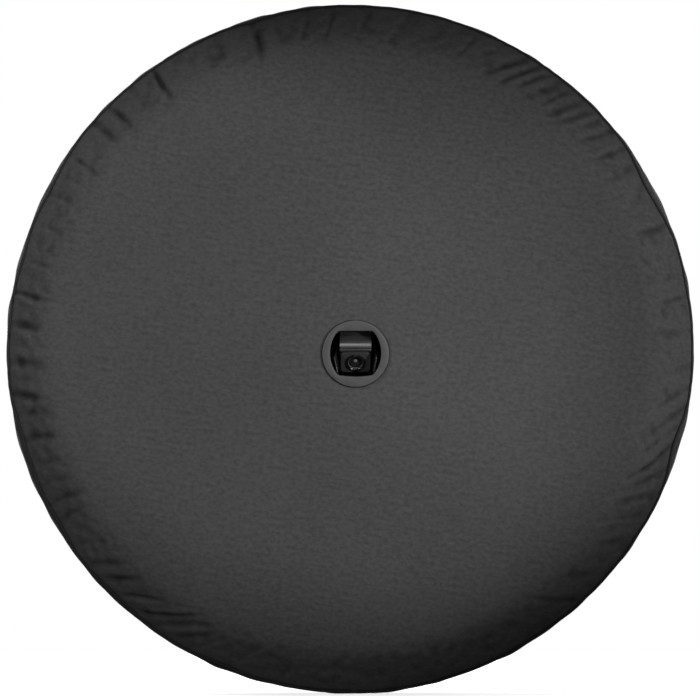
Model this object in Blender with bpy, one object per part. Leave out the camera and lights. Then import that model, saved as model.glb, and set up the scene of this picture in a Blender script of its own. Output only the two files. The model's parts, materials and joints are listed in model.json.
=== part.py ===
"""Fitted spare tire cover with a centre port that holds a tilting rear camera.

Frame: metres, +Z up. The cover's axis is Y, its face looks along -Y and its open
back along +Y. The origin is where the axis meets the inner side of the face, which
is the plane that the tire's front sidewall bears on.
"""

import math

import bmesh
import bpy
from mathutils import Matrix, Vector

# Driving sizes of the fabric shell, for a 32 inch (813 mm) tire with a 255 mm section.
FABRIC = 0.002
GAP = 0.0003
TREAD_RADIUS = 0.4095
DEPTH = 0.258
FLAT_RADIUS = 0.350
SHOULDER_BEND = 0.0375
SHOULDER_SLOPE = math.radians(40)
SEAM_RADIUS = 0.4051
WELT_RADIUS = 0.0018
BACK_DISH = 0.006
BACK_SLOPE_END = 0.300
SKIRT_EDGE = 0.286
ROUND_STEPS = 48

# Hem: a folded casing round a flat elastic.
HEM_FOLD = 0.270
HEM_EDGE = 0.298
HEM_CLOTH = 0.0015
ELASTIC_WIDTH = 0.012
ELASTIC_THICKNESS = 0.0014

# Drain eyelets in the lowest part of the tread band.
EYELET_ANGLES = [math.radians(a) for a in (-105, -90, -75)]
EYELET_FLANGE = 0.009
EYELET_TUBE = 0.0049
EYELET_BORE = 0.0036
EYELET_METAL = 0.0008
BAND_MIDDLE = 0.128
DRILL = 0.01

# Camera port, a little right of and below the cover's axis.
PORT = Vector((0.0066, 0.0, -0.0062))
BEZEL_RADIUS = 0.0398
BEZEL_THICKNESS = 0.0022
BEZEL_BARREL = 0.0349
BEZEL_BARREL_WALL = 0.0024
BEZEL_BARREL_END = 0.004
GASKET_RADIUS = 0.0405
GASKET_THICKNESS = 0.0009
BUCKET_RADIUS = 0.0368
BUCKET_WALL = 0.0016
BUCKET_FLOOR = 0.0626
BUCKET_FLOOR_THICKNESS = 0.0024
STANDOFF_INNER = 0.022
STANDOFF_OUTER = 0.027
STANDOFF_END = 0.070
PATCH_RADIUS = 0.058
PATCH_THICKNESS = 0.0015
LOCK_RING_RADIUS = 0.048
LOCK_RING_HUB = 0.0412
LOCK_RING_HEIGHT = 0.009
GLAND_FLANGE = 0.0082
GLAND_NECK = 0.0059
GLAND_BORE = 0.003
GLAND_LIP = 0.0016
PORT_STEPS = 30
SMALL_STEPS = 12

# Window in the bezel: flat top, two bulging sides and a shallow curved bottom.
WINDOW_TOP = 0.0268
WINDOW_BOTTOM = 0.0254
WINDOW_BOTTOM_SAG = 0.0014
WINDOW_HALF_TOP = 0.0203
WINDOW_HALF_MIDDLE = 0.0302

# Camera, drawn level about its pivot and then tilted down.
CAMERA_TILT = math.radians(38)
PIVOT = PORT + Vector((0.0, 0.034, 0.0008))
BODY_HALF_WIDTH = 0.0182
BODY_BOTTOM = -0.015
BODY_TOP = 0.022
BODY_WALL = 0.0016
BODY_CORNER = 0.004
BODY_SPLIT = -0.005
BODY_BACK = 0.014
BODY_FRONT = -0.016
SEAL_THICKNESS = 0.001
HOOD_HALF_WIDTH = 0.0188
HOOD_TOP = 0.028
HOOD_FRONT = -0.021
HOOD_BACK = 0.006
HOOD_LIP = 0.0185
HOOD_ROUND = 0.005
PLATE_HALF = 0.015
PLATE_THICKNESS = 0.0017
LENS_RING_RADIUS = 0.0118
LENS_OPENING = 0.0080
LENS_HOLE = 0.0098
PIVOT_SHANK = 0.0020
PIVOT_HEAD = 0.0036
SOCKET_RADIUS = 0.0040

# Tilt bracket: two cheeks on a base that is screwed to the bucket's floor.
CHEEK_INNER = 0.0200
CHEEK_OUTER = 0.0216
BRACKET_BASE = 0.0020
BRACKET_SCREW_HOLE = 0.0016
BODY_SCREW_HOLE = 0.0015
BRACKET_SCREWS = [(x, z) for x in (-0.015, 0.015) for z in (-0.006, 0.006)]
BODY_SCREWS = [(x, z) for x in (-0.0145, 0.0145) for z in (-0.0115, 0.0185)]


def clear_scene():
    for obj in list(bpy.data.objects):
        bpy.data.objects.remove(obj, do_unlink=True)


def material(name, colour, roughness, metallic=0.0):
    mat = bpy.data.materials.new(name)
    mat.use_nodes = True
    shader = mat.node_tree.nodes["Principled BSDF"]
    shader.inputs["Base Color"].default_value = (*colour, 1.0)
    shader.inputs["Roughness"].default_value = roughness
    shader.inputs["Metallic"].default_value = metallic
    return mat


def add_object(name, bm, look, parent=None, sharp=40):
    """Turns a bmesh into a named object, with its faces out and its rounds smooth."""
    bmesh.ops.remove_doubles(bm, verts=bm.verts, dist=1e-6)
    bmesh.ops.recalc_face_normals(bm, faces=bm.faces)
    mesh = bpy.data.meshes.new(name)
    bm.to_mesh(mesh)
    bm.free()
    mesh.shade_smooth()
    mesh.set_sharp_from_angle(angle=math.radians(sharp))
    mesh.materials.append(look)
    obj = bpy.data.objects.new(name, mesh)
    obj.parent = parent
    bpy.context.scene.collection.objects.link(obj)
    return obj


def arc(centre, reach, start, end, steps):
    """Points on an ellipse, reach being its two half sizes and the angles in radians."""
    points = []
    for i in range(steps + 1):
        angle = start + (end - start) * i / steps
        points.append((centre[0] + reach[0] * math.cos(angle), centre[1] + reach[1] * math.sin(angle)))
    return points


def thick(line, thickness):
    """A closed (radius, y) outline: the line, and back along its inner side."""
    inner = []
    for i, (radius, y) in enumerate(line):
        before = Vector(line[max(i - 1, 0)])
        after = Vector(line[min(i + 1, len(line) - 1)])
        along = (after - before).normalized()
        inner.append((max(radius - along.y * thickness, 0.0), y + along.x * thickness))
    return line + inner[::-1]


def add_turned(bm, outline, steps, closed=True, half_step=False):
    """Turns a (radius, y) outline about the Y axis. An open one starts and ends on the axis."""
    turn = math.pi / steps if half_step else 0.0
    verts = [bm.verts.new((r * math.cos(turn), y, r * math.sin(turn))) for r, y in outline]
    edges = [bm.edges.new(pair) for pair in zip(verts, verts[1:])]
    if closed:
        edges.append(bm.edges.new((verts[-1], verts[0])))
    bmesh.ops.spin(
        bm,
        geom=verts + edges,
        cent=(0, 0, 0),
        axis=(0, 1, 0),
        angle=2 * math.pi,
        steps=steps,
    )


def turned(name, outline, look, steps, closed=True, parent=None, half_step=False):
    bm = bmesh.new()
    add_turned(bm, outline, steps, closed, half_step)
    return add_object(name, bm, look, parent)


def add_slab(bm, outline, low, high, axis="Y"):
    """Extrudes a closed outline of (x, z) along Y, or of (y, z) along X."""
    if axis == "Y":
        verts = [bm.verts.new((a, low, b)) for a, b in outline]
        step = Vector((0, high - low, 0))
    else:
        verts = [bm.verts.new((low, a, b)) for a, b in outline]
        step = Vector((high - low, 0, 0))
    face = bm.faces.new(verts)
    made = bmesh.ops.extrude_face_region(bm, geom=[face])["geom"]
    bmesh.ops.translate(bm, verts=[v for v in made if isinstance(v, bmesh.types.BMVert)], vec=step)


def slab(name, outline, low, high, look, axis="Y", parent=None):
    bm = bmesh.new()
    add_slab(bm, outline, low, high, axis)
    return add_object(name, bm, look, parent)


def rectangle(low_a, high_a, low_b, high_b):
    return [(low_a, low_b), (high_a, low_b), (high_a, high_b), (low_a, high_b)]


def rounded_rectangle(half_width, low, high, radius, steps=4):
    corners = [
        (half_width, low, -90),
        (half_width, high, 0),
        (-half_width, high, 90),
        (-half_width, low, 180),
    ]
    points = []
    for x, z, start in corners:
        centre = (x - math.copysign(radius, x), z + (radius if z == low else -radius))
        first = math.radians(start)
        points += arc(centre, (radius, radius), first, first + math.pi / 2, steps)
    return points


def repeated(names, outline, matrices, look, steps=SMALL_STEPS, closed=True, parent=None):
    """The same turned piece at several places, each a separate object on one mesh."""
    first = turned(names[0], outline, look, steps, closed, parent)
    first.matrix_local = matrices[0]
    for name, matrix in zip(names[1:], matrices[1:]):
        copy = bpy.data.objects.new(name, first.data)
        copy.parent = parent
        copy.matrix_local = matrix
        bpy.context.scene.collection.objects.link(copy)


def drills(name, radius, low, high, matrices, look, parent=None, steps=SMALL_STEPS):
    """One cutter that holds a round bar along Y at each of several places."""
    outline = rod(radius, low, high)
    bm = bmesh.new()
    for matrix in matrices:
        placed = set(bm.verts)
        add_turned(bm, outline, steps, closed=False)
        bmesh.ops.transform(bm, matrix=matrix, verts=[v for v in bm.verts if v not in placed])
    return add_object(name, bm, look, parent)


def cut(obj, cutter):
    """Takes the cutter out of the object. The cutter is a guide and isn't part of the cover."""
    cutter.hide_render = True
    cutter.display_type = "WIRE"
    modifier = obj.modifiers.new("cut_" + cutter.name, "BOOLEAN")
    modifier.operation = "DIFFERENCE"
    modifier.object = cutter


def rod(radius, low, high):
    """Open outline of a plain round bar along Y."""
    return [(0.0, low), (radius, low), (radius, high), (0.0, high)]


def along_x(flip=False):
    """Lays a piece turned about Y along +X, or along -X."""
    return Matrix.Rotation(math.radians(90 if flip else -90), 4, "Z")


def make_looks():
    """The finishes, each a plain Principled material."""
    return {
        "canvas": material("canvas", (0.062, 0.062, 0.063), 0.85),
        "welt": material("welt_vinyl", (0.012, 0.012, 0.013), 0.5),
        "webbing": material("webbing", (0.02, 0.02, 0.021), 0.8),
        "elastic": material("elastic_band", (0.5, 0.5, 0.48), 0.9),
        "brass": material("blackened_brass", (0.05, 0.045, 0.04), 0.4, 1.0),
        "bezel": material("bezel_plastic", (0.07, 0.07, 0.071), 0.6),
        "rubber": material("black_rubber", (0.01, 0.01, 0.01), 0.7),
        "black": material("black_plastic", (0.012, 0.012, 0.013), 0.5),
        "satin": material("satin_grey_plastic", (0.09, 0.09, 0.09), 0.35),
        "steel": material("stainless_steel", (0.55, 0.55, 0.56), 0.3, 1.0),
        "glass": material("lens_glass", (0.02, 0.02, 0.03), 0.05),
        "board": material("circuit_board", (0.02, 0.12, 0.05), 0.6),
        "chip": material("sensor_chip", (0.03, 0.03, 0.04), 0.2),
    }


# Fabric shell


def shoulder(front):
    """Outer line over a shoulder: a bend over the edge of the tire's sidewall, then straight to the seam."""
    plane = -FABRIC if front else DEPTH
    bend = SHOULDER_BEND if front else -SHOULDER_BEND
    start = math.radians(-90)
    line = arc((FLAT_RADIUS, plane + bend), (SHOULDER_BEND, bend), start, start + SHOULDER_SLOPE, 4)
    radius, y = line[-1]
    drop = (SEAM_RADIUS - radius) * math.tan(SHOULDER_SLOPE)
    return line + [(SEAM_RADIUS, y + (drop if front else -drop))]


def seam(front):
    """(radius, y) of the middle of the welt, just past the shoulder's edge."""
    radius, y = shoulder(front)[-1]
    past = WELT_RADIUS + GAP
    return radius + WELT_RADIUS * 2 / 3, y + (past if front else -past)


def make_face_panel(looks):
    """Face disc, pulled over the front shoulder to the piped seam, with the port's hole."""
    panel = turned(
        "face_panel",
        thick([(0.0, -FABRIC)] + shoulder(True), FABRIC),
        looks["canvas"],
        ROUND_STEPS,
        closed=False,
        half_step=True,
    )
    through = rod(BUCKET_RADIUS + 0.0004, -DRILL, DRILL)
    hole = turned("port_hole", through, looks["canvas"], PORT_STEPS, closed=False)
    hole.location = PORT
    cut(panel, hole)


def make_welt(name, front, looks):
    turned(
        name,
        arc(seam(front), (WELT_RADIUS, WELT_RADIUS), 0.0, math.radians(300), 5),
        looks["welt"],
        ROUND_STEPS,
        half_step=True,
    )


def make_tread_band(looks):
    """Strip round the tread, slightly crowned, with holes for the drain eyelets."""
    front_y = seam(True)[1] + WELT_RADIUS + GAP
    back_y = seam(False)[1] - WELT_RADIUS - GAP
    edge = SEAM_RADIUS + 0.0012
    rise = 0.0022
    rise_width = 0.018
    half_flat = 0.03
    line = [
        (edge, front_y),
        (edge + rise, front_y + rise_width),
        (TREAD_RADIUS, BAND_MIDDLE - half_flat),
        (TREAD_RADIUS, BAND_MIDDLE + half_flat),
        (edge + rise, back_y - rise_width),
        (edge, back_y),
    ]
    band = turned("tread_band", thick(line, FABRIC), looks["canvas"], ROUND_STEPS, half_step=True)
    holes = drills("eyelet_holes", EYELET_TUBE + GAP, -DRILL, DRILL, eyelet_places(), looks["canvas"])
    cut(band, holes)


def make_back_skirt(looks):
    """Ring behind the tire, from the rear seam to the hem."""
    line = shoulder(False)[::-1]
    line += [(BACK_SLOPE_END, DEPTH - BACK_DISH), (SKIRT_EDGE, DEPTH - BACK_DISH)]
    turned("back_skirt", thick(line, FABRIC), looks["canvas"], ROUND_STEPS, half_step=True)


def make_hem(looks):
    """Casing folded round the skirt's edge, open at the skirt, with the elastic in its fold."""
    outer = DEPTH - BACK_DISH + GAP
    inner = DEPTH - BACK_DISH - FABRIC - GAP
    casing = [
        (HEM_EDGE, outer + HEM_CLOTH),
        (HEM_FOLD, outer + HEM_CLOTH),
        (HEM_FOLD, inner - HEM_CLOTH),
        (HEM_EDGE, inner - HEM_CLOTH),
        (HEM_EDGE, inner),
        (HEM_FOLD + HEM_CLOTH, inner),
        (HEM_FOLD + HEM_CLOTH, outer),
        (HEM_EDGE, outer),
    ]
    turned("hem_casing", casing, looks["webbing"], ROUND_STEPS, half_step=True)
    middle = (outer + inner) / 2
    start = HEM_FOLD + HEM_CLOTH + 0.0008
    half = ELASTIC_THICKNESS / 2
    band = rectangle(start, start + ELASTIC_WIDTH, middle - half, middle + half)
    turned("hem_elastic", band, looks["elastic"], ROUND_STEPS, half_step=True)


def eyelet_places():
    """Frames on the band's flats: local +Y points outward from the cover's axis."""
    flat = TREAD_RADIUS * math.cos(math.pi / ROUND_STEPS)
    places = []
    for angle in EYELET_ANGLES:
        outward = Vector((math.cos(angle), 0.0, math.sin(angle)))
        turn = Vector((0, 1, 0)).rotation_difference(outward).to_matrix().to_4x4()
        centre = Matrix.Translation(outward * flat + Vector((0, BAND_MIDDLE, 0)))
        places.append(centre @ turn)
    return places


def make_drain_eyelets(looks):
    """Eyelets with a flange outside the band and a rolled end over an inner washer."""
    washer_top = -FABRIC - GAP
    washer_bottom = washer_top - EYELET_METAL
    roll_top = washer_bottom - GAP
    roll = EYELET_TUBE + 0.0014
    eyelet = [
        (EYELET_BORE, GAP + EYELET_METAL),
        (EYELET_FLANGE, GAP + EYELET_METAL / 2),
        (EYELET_FLANGE, GAP),
        (EYELET_TUBE, GAP),
        (EYELET_TUBE, roll_top),
        (roll, roll_top),
        (roll, roll_top - EYELET_METAL),
        (EYELET_BORE, roll_top - EYELET_METAL),
    ]
    count = range(1, len(EYELET_ANGLES) + 1)
    repeated([f"drain_eyelet_{n}" for n in count], eyelet, eyelet_places(), looks["brass"])
    washer = rectangle(EYELET_TUBE + GAP, EYELET_FLANGE, washer_bottom, washer_top)
    repeated([f"drain_washer_{n}" for n in count], washer, eyelet_places(), looks["brass"])


# Camera port


def window_outline():
    """Closed (x, z) outline of the bezel's window."""
    tall = (WINDOW_TOP + WINDOW_BOTTOM) / 2
    middle = (WINDOW_TOP - WINDOW_BOTTOM) / 2
    bulge = WINDOW_HALF_MIDDLE - WINDOW_HALF_TOP
    side = (tall**2 + bulge**2) / (2 * bulge)
    spread = math.asin(tall / side)
    right = arc((WINDOW_HALF_MIDDLE - side, middle), (side, side), -spread, spread, 8)
    left = [(-x, z) for x, z in right[::-1]]
    low = [(0.0, -WINDOW_BOTTOM - WINDOW_BOTTOM_SAG)]
    return right + left + low


def make_bezel(looks):
    """Round front trim with the camera window, and a short barrel that snaps into the bucket."""
    back = -FABRIC - GAP - GASKET_THICKNESS - GAP
    front = back - BEZEL_THICKNESS
    chamfer = 0.0008
    outline = [
        (0.0, front),
        (BEZEL_RADIUS - chamfer, front),
        (BEZEL_RADIUS, front + chamfer),
        (BEZEL_RADIUS, back),
        (BEZEL_BARREL, back),
        (BEZEL_BARREL, BEZEL_BARREL_END),
        (BEZEL_BARREL - BEZEL_BARREL_WALL, BEZEL_BARREL_END),
        (BEZEL_BARREL - BEZEL_BARREL_WALL, back),
        (0.0, back),
    ]
    bezel = turned("camera_bezel", outline, looks["bezel"], PORT_STEPS, closed=False)
    bezel.location = PORT
    window = slab("bezel_window", window_outline(), -DRILL, 0.0, looks["bezel"])
    window.location = PORT
    cut(bezel, window)


def make_gasket(looks):
    front = -FABRIC - GAP - GASKET_THICKNESS
    ring = rectangle(BUCKET_RADIUS + 0.0009, GASKET_RADIUS, front, front + GASKET_THICKNESS)
    gasket = turned("bezel_gasket", ring, looks["rubber"], PORT_STEPS)
    gasket.location = PORT


def make_bucket(looks):
    """Deep cup behind the bezel, with a standoff ring on its back and a hole for the gland."""
    inner = BUCKET_RADIUS - BUCKET_WALL
    back = BUCKET_FLOOR + BUCKET_FLOOR_THICKNESS
    chamfer = 0.003
    gland_hole = GLAND_NECK + GAP
    outline = [
        (inner, -FABRIC),
        (BUCKET_RADIUS, -FABRIC),
        (BUCKET_RADIUS, back - chamfer),
        (BUCKET_RADIUS - chamfer, back),
        (STANDOFF_OUTER, back),
        (STANDOFF_OUTER, STANDOFF_END),
        (STANDOFF_INNER, STANDOFF_END),
        (STANDOFF_INNER, back),
        (gland_hole, back),
        (gland_hole, BUCKET_FLOOR),
        (inner, BUCKET_FLOOR),
    ]
    bucket = turned("camera_bucket", outline, looks["black"], PORT_STEPS)
    bucket.location = PORT
    places = [Matrix.Translation((x, BUCKET_FLOOR, z)) for x, z in BRACKET_SCREWS]
    holes = drills("floor_screw_holes", BRACKET_SCREW_HOLE, -DRILL, DRILL / 2, places, looks["black"])
    holes.location = PORT
    cut(bucket, holes)


def make_port_rings(looks):
    """Webbing ring sewn inside the face round the port, and the ring nut that clamps it."""
    patch = rectangle(BUCKET_RADIUS + 2 * GAP, PATCH_RADIUS, GAP, GAP + PATCH_THICKNESS)
    ring = turned("port_reinforcement", patch, looks["webbing"], PORT_STEPS)
    ring.location = PORT
    seat = GAP + PATCH_THICKNESS + GAP
    end = seat + LOCK_RING_HEIGHT
    bore = BUCKET_RADIUS + GAP
    nut = [
        (bore, seat),
        (LOCK_RING_RADIUS, seat),
        (LOCK_RING_RADIUS, seat + 0.002),
        (LOCK_RING_HUB, seat + 0.003),
        (LOCK_RING_HUB, end),
        (bore, end),
    ]
    lock = turned("lock_ring", nut, looks["black"], PORT_STEPS)
    lock.location = PORT


def make_cable_gland(looks):
    """Rubber gland in the bucket's floor, which the camera's cable would pass through."""
    front = BUCKET_FLOOR - GAP
    back = BUCKET_FLOOR + BUCKET_FLOOR_THICKNESS + GAP
    outline = [
        (GLAND_BORE, front - GLAND_LIP),
        (GLAND_FLANGE, front - GLAND_LIP),
        (GLAND_FLANGE, front),
        (GLAND_NECK, front),
        (GLAND_NECK, back),
        (GLAND_FLANGE, back),
        (GLAND_FLANGE, back + GLAND_LIP),
        (GLAND_BORE, back + GLAND_LIP),
    ]
    gland = turned("cable_gland", outline, looks["rubber"], SMALL_STEPS)
    gland.location = PORT


def make_bracket(looks):
    """U-shaped tilt bracket: its side outline across the bucket, hollowed between the cheeks."""
    back = BUCKET_FLOOR - GAP
    cheek = [
        (back, -0.012),
        (back, 0.011),
        (0.027, 0.011),
        (0.023, 0.006),
        (0.009, -0.004),
        (0.009, -0.022),
        (0.013, -0.0255),
        (0.022, -0.0255),
        (0.040, -0.012),
    ]
    bracket = slab("tilt_bracket", cheek, -CHEEK_OUTER, CHEEK_OUTER, looks["black"], axis="X")
    bracket.location = PORT
    between = rectangle(-CHEEK_INNER, CHEEK_INNER, -BUCKET_RADIUS, BUCKET_RADIUS)
    inside = slab("bracket_inside", between, 0.0, back - BRACKET_BASE, looks["black"])
    inside.location = PORT
    cut(bracket, inside)
    half = BUCKET_RADIUS
    axle = drills("bracket_axle_holes", PIVOT_SHANK + GAP, -half, half, [along_x()], looks["black"])
    axle.location = PIVOT
    cut(bracket, axle)
    places = [Matrix.Translation((x, back, z)) for x, z in BRACKET_SCREWS]
    screws = drills("base_screw_holes", BRACKET_SCREW_HOLE, -DRILL / 2, DRILL / 2, places, looks["black"])
    screws.location = PORT
    cut(bracket, screws)
    round_gland = rod(GLAND_FLANGE + 0.0008, back - DRILL / 2, back + DRILL / 2)
    gland = turned("base_gland_hole", round_gland, looks["black"], SMALL_STEPS, closed=False)
    gland.location = PORT
    cut(bracket, gland)


def make_bracket_screws(looks):
    """Low-headed screws that hold the bracket to the bucket's floor."""
    base = BUCKET_FLOOR - GAP - BRACKET_BASE - GAP
    head = 0.0025
    head_top = base - 0.0014
    shank = 0.0013
    tip = base + 0.0062
    outline = [
        (0.0, head_top),
        (head - 0.0005, head_top),
        (head, base - 0.0008),
        (head, base),
        (shank, base),
        (shank, tip),
        (0.0, tip),
    ]
    names = [f"bracket_screw_{n}" for n in (1, 2, 3, 4)]
    places = [Matrix.Translation(PORT + Vector((x, 0, z))) for x, z in BRACKET_SCREWS]
    repeated(names, outline, places, looks["steel"], closed=False)


# Camera, in its own level frame: -Y is forward, the pivot is the origin


def make_tilt_empty():
    empty = bpy.data.objects.new("camera_pivot", None)
    empty.location = PIVOT
    empty.rotation_euler = (CAMERA_TILT, 0, 0)
    bpy.context.scene.collection.objects.link(empty)
    return empty


def body_outline(inset=0.0):
    """Rounded (x, z) outline of the camera's body."""
    half = BODY_HALF_WIDTH - inset
    return rounded_rectangle(half, BODY_BOTTOM + inset, BODY_TOP - inset, BODY_CORNER - inset)


def make_body_shells(looks, camera):
    """Front and rear halves of the body, each a tray open towards the other, and their seal."""
    black = looks["black"]
    front_back = BODY_SPLIT - SEAL_THICKNESS - 2 * GAP
    front = slab("camera_body_front", body_outline(), BODY_FRONT, front_back, black, parent=camera)
    inside = body_outline(BODY_WALL)
    hollow = slab("front_hollow", inside, BODY_FRONT + 0.002, 0.0, black, parent=camera)
    cut(front, hollow)
    bore = turned("lens_hole", rod(LENS_HOLE, -0.03, 0.0), black, 24, closed=False, parent=camera)
    cut(front, bore)

    rear = slab("camera_body_rear", body_outline(), BODY_SPLIT, BODY_BACK, black, parent=camera)
    hollow = slab("rear_hollow", inside, -0.02, BODY_BACK - BODY_WALL, black, parent=camera)
    cut(rear, hollow)
    axle = drills("body_axle_holes", PIVOT_SHANK + GAP, -0.03, 0.03, [along_x()], black, camera)
    cut(rear, axle)
    places = [Matrix.Translation((x, BODY_BACK, z)) for x, z in BODY_SCREWS]
    screws = drills("body_screw_holes", BODY_SCREW_HOLE, -DRILL / 2, DRILL / 2, places, black, camera)
    cut(rear, screws)
    back_wall = rod(SOCKET_RADIUS + GAP, BODY_BACK - DRILL / 2, BODY_BACK + DRILL / 2)
    socket = turned("socket_hole", back_wall, black, SMALL_STEPS, closed=False, parent=camera)
    cut(rear, socket)

    low = front_back + GAP
    rubber = looks["rubber"]
    seal = slab("body_seal", body_outline(0.0002), low, low + SEAL_THICKNESS, rubber, parent=camera)
    middle = slab("seal_hollow", body_outline(BODY_WALL + 0.0006), -0.02, 0.0, rubber, parent=camera)
    cut(seal, middle)


def make_hood(looks, camera):
    """Brow over the lens: a roof with a rounded front edge and a lip in front of the body."""
    under = BODY_TOP + GAP
    lip_back = BODY_FRONT - GAP
    centre = (HOOD_FRONT + HOOD_ROUND, HOOD_TOP - HOOD_ROUND)
    edge = arc(centre, (HOOD_ROUND, HOOD_ROUND), math.radians(180), math.radians(90), 6)
    outline = [(HOOD_BACK, HOOD_TOP), (HOOD_BACK, under), (lip_back, under), (lip_back, HOOD_LIP)]
    outline += [(HOOD_FRONT, HOOD_LIP)] + edge
    slab("camera_hood", outline, -HOOD_HALF_WIDTH, HOOD_HALF_WIDTH, looks["satin"], axis="X", parent=camera)


def make_face_plate(looks, camera):
    """Front plate round the lens, with well rounded lower corners."""
    back = BODY_FRONT - GAP
    satin = looks["satin"]
    outline = rounded_rectangle(BODY_HALF_WIDTH - 0.0006, -PLATE_HALF, PLATE_HALF, 0.005)
    plate = slab("lens_face_plate", outline, back - PLATE_THICKNESS, back, satin, parent=camera)
    bore = rod(LENS_RING_RADIUS + GAP, -0.03, 0.0)
    hole = turned("plate_hole", bore, satin, 28, closed=False, parent=camera)
    cut(plate, hole)


def make_lens(looks, camera):
    """Barrel, seal, front glass and the ring that holds them, from back to front."""
    barrel = rectangle(0.0070, 0.0095, BODY_FRONT, -0.005)
    turned("lens_barrel", barrel, looks["black"], 24, parent=camera)
    seat = BODY_FRONT - GAP
    seal_front = seat - 0.0008
    seal = rectangle(LENS_HOLE + 0.0001, LENS_RING_RADIUS - GAP, seal_front, seat)
    turned("lens_seal", seal, looks["rubber"], 24, parent=camera)
    ring_back = seal_front - GAP
    ring = [
        (LENS_OPENING, ring_back),
        (LENS_RING_RADIUS, ring_back),
        (LENS_RING_RADIUS, ring_back - 0.0018),
        (LENS_RING_RADIUS - 0.0012, ring_back - 0.0026),
        (LENS_OPENING + 0.0010, ring_back - 0.0026),
        (LENS_OPENING, ring_back - 0.0014),
    ]
    turned("lens_ring", ring[::-1], looks["black"], 28, parent=camera)
    rim = LENS_HOLE - 0.0005
    bulge = 0.0024
    dome = arc((0.0, seal_front), (LENS_OPENING - 0.0004, bulge), 0.0, math.radians(-90), 5)
    glass = [(0.0, seat), (rim, seat), (rim, seal_front)] + dome[:-1] + [(0.0, seal_front - bulge)]
    turned("lens_glass", glass, looks["glass"], 24, closed=False, parent=camera)
    inner = rod(0.0066, -0.0125, -0.009)
    turned("inner_lens", inner, looks["glass"], SMALL_STEPS, closed=False, parent=camera)


def make_electronics(looks, camera):
    """Sensor board behind the lens, its chip, and the socket in the body's back."""
    board = rectangle(-0.012, 0.012, -0.010, 0.012)
    slab("sensor_board", board, 0.0010, 0.0026, looks["board"], parent=camera)
    chip = rectangle(-0.0036, 0.0036, -0.0036, 0.0036)
    slab("image_sensor", chip, -0.0008, 0.0007, looks["chip"], parent=camera)
    front = 0.0105
    floor = 0.0130
    mouth = 0.0190
    bore = SOCKET_RADIUS - 0.0012
    outline = [
        (0.0, front),
        (SOCKET_RADIUS, front),
        (SOCKET_RADIUS, mouth),
        (bore, mouth),
        (bore, floor),
        (0.0, floor),
    ]
    turned("cable_socket", outline, looks["black"], SMALL_STEPS, closed=False, parent=camera)


def make_camera_fasteners(looks, camera):
    """Body screws, pivot screws and the friction washers on the pivot."""
    steel = looks["steel"]
    back = BODY_BACK + GAP
    head = 0.0022
    shank = 0.0012
    tip = back - 0.012
    top = back + 0.0012
    outline = [(0.0, tip), (shank, tip), (shank, back), (head, back), (head, top), (0.0, top)]
    places = [Matrix.Translation((x, 0, z)) for x, z in BODY_SCREWS]
    names = [f"body_screw_{n}" for n in (1, 2, 3, 4)]
    repeated(names, outline, places, steel, closed=False, parent=camera)

    under = CHEEK_OUTER + GAP
    tip = BODY_HALF_WIDTH - 0.004
    pivot = [(0.0, tip), (PIVOT_SHANK, tip), (PIVOT_SHANK, under), (PIVOT_HEAD, under)]
    pivot += [(PIVOT_HEAD, under + 0.0011), (PIVOT_HEAD - 0.0006, under + 0.0016), (0.0, under + 0.0016)]
    sides = [along_x(flip=True), along_x()]
    names = ["pivot_screw_left", "pivot_screw_right"]
    repeated(names, pivot, sides, steel, closed=False, parent=camera)
    washer = rectangle(PIVOT_SHANK + GAP, 0.0048, BODY_HALF_WIDTH + GAP, CHEEK_INNER - GAP)
    names = ["friction_washer_left", "friction_washer_right"]
    repeated(names, washer, sides, looks["rubber"], parent=camera)


def main():
    clear_scene()
    looks = make_looks()
    make_face_panel(looks)
    make_welt("front_welt", True, looks)
    make_tread_band(looks)
    make_welt("rear_welt", False, looks)
    make_back_skirt(looks)
    make_hem(looks)
    make_drain_eyelets(looks)
    make_bezel(looks)
    make_gasket(looks)
    make_bucket(looks)
    make_port_rings(looks)
    make_cable_gland(looks)
    make_bracket(looks)
    make_bracket_screws(looks)
    camera = make_tilt_empty()
    make_body_shells(looks, camera)
    make_hood(looks, camera)
    make_face_plate(looks, camera)
    make_lens(looks, camera)
    make_electronics(looks, camera)
    make_camera_fasteners(looks, camera)


main()
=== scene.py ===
"""Looks of the spare tire cover: cloth, piping and hem, the camera and its port, and a plain studio."""
import json
import math

import bmesh
import bpy
import numpy as np
from mathutils import Matrix, Vector


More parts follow.
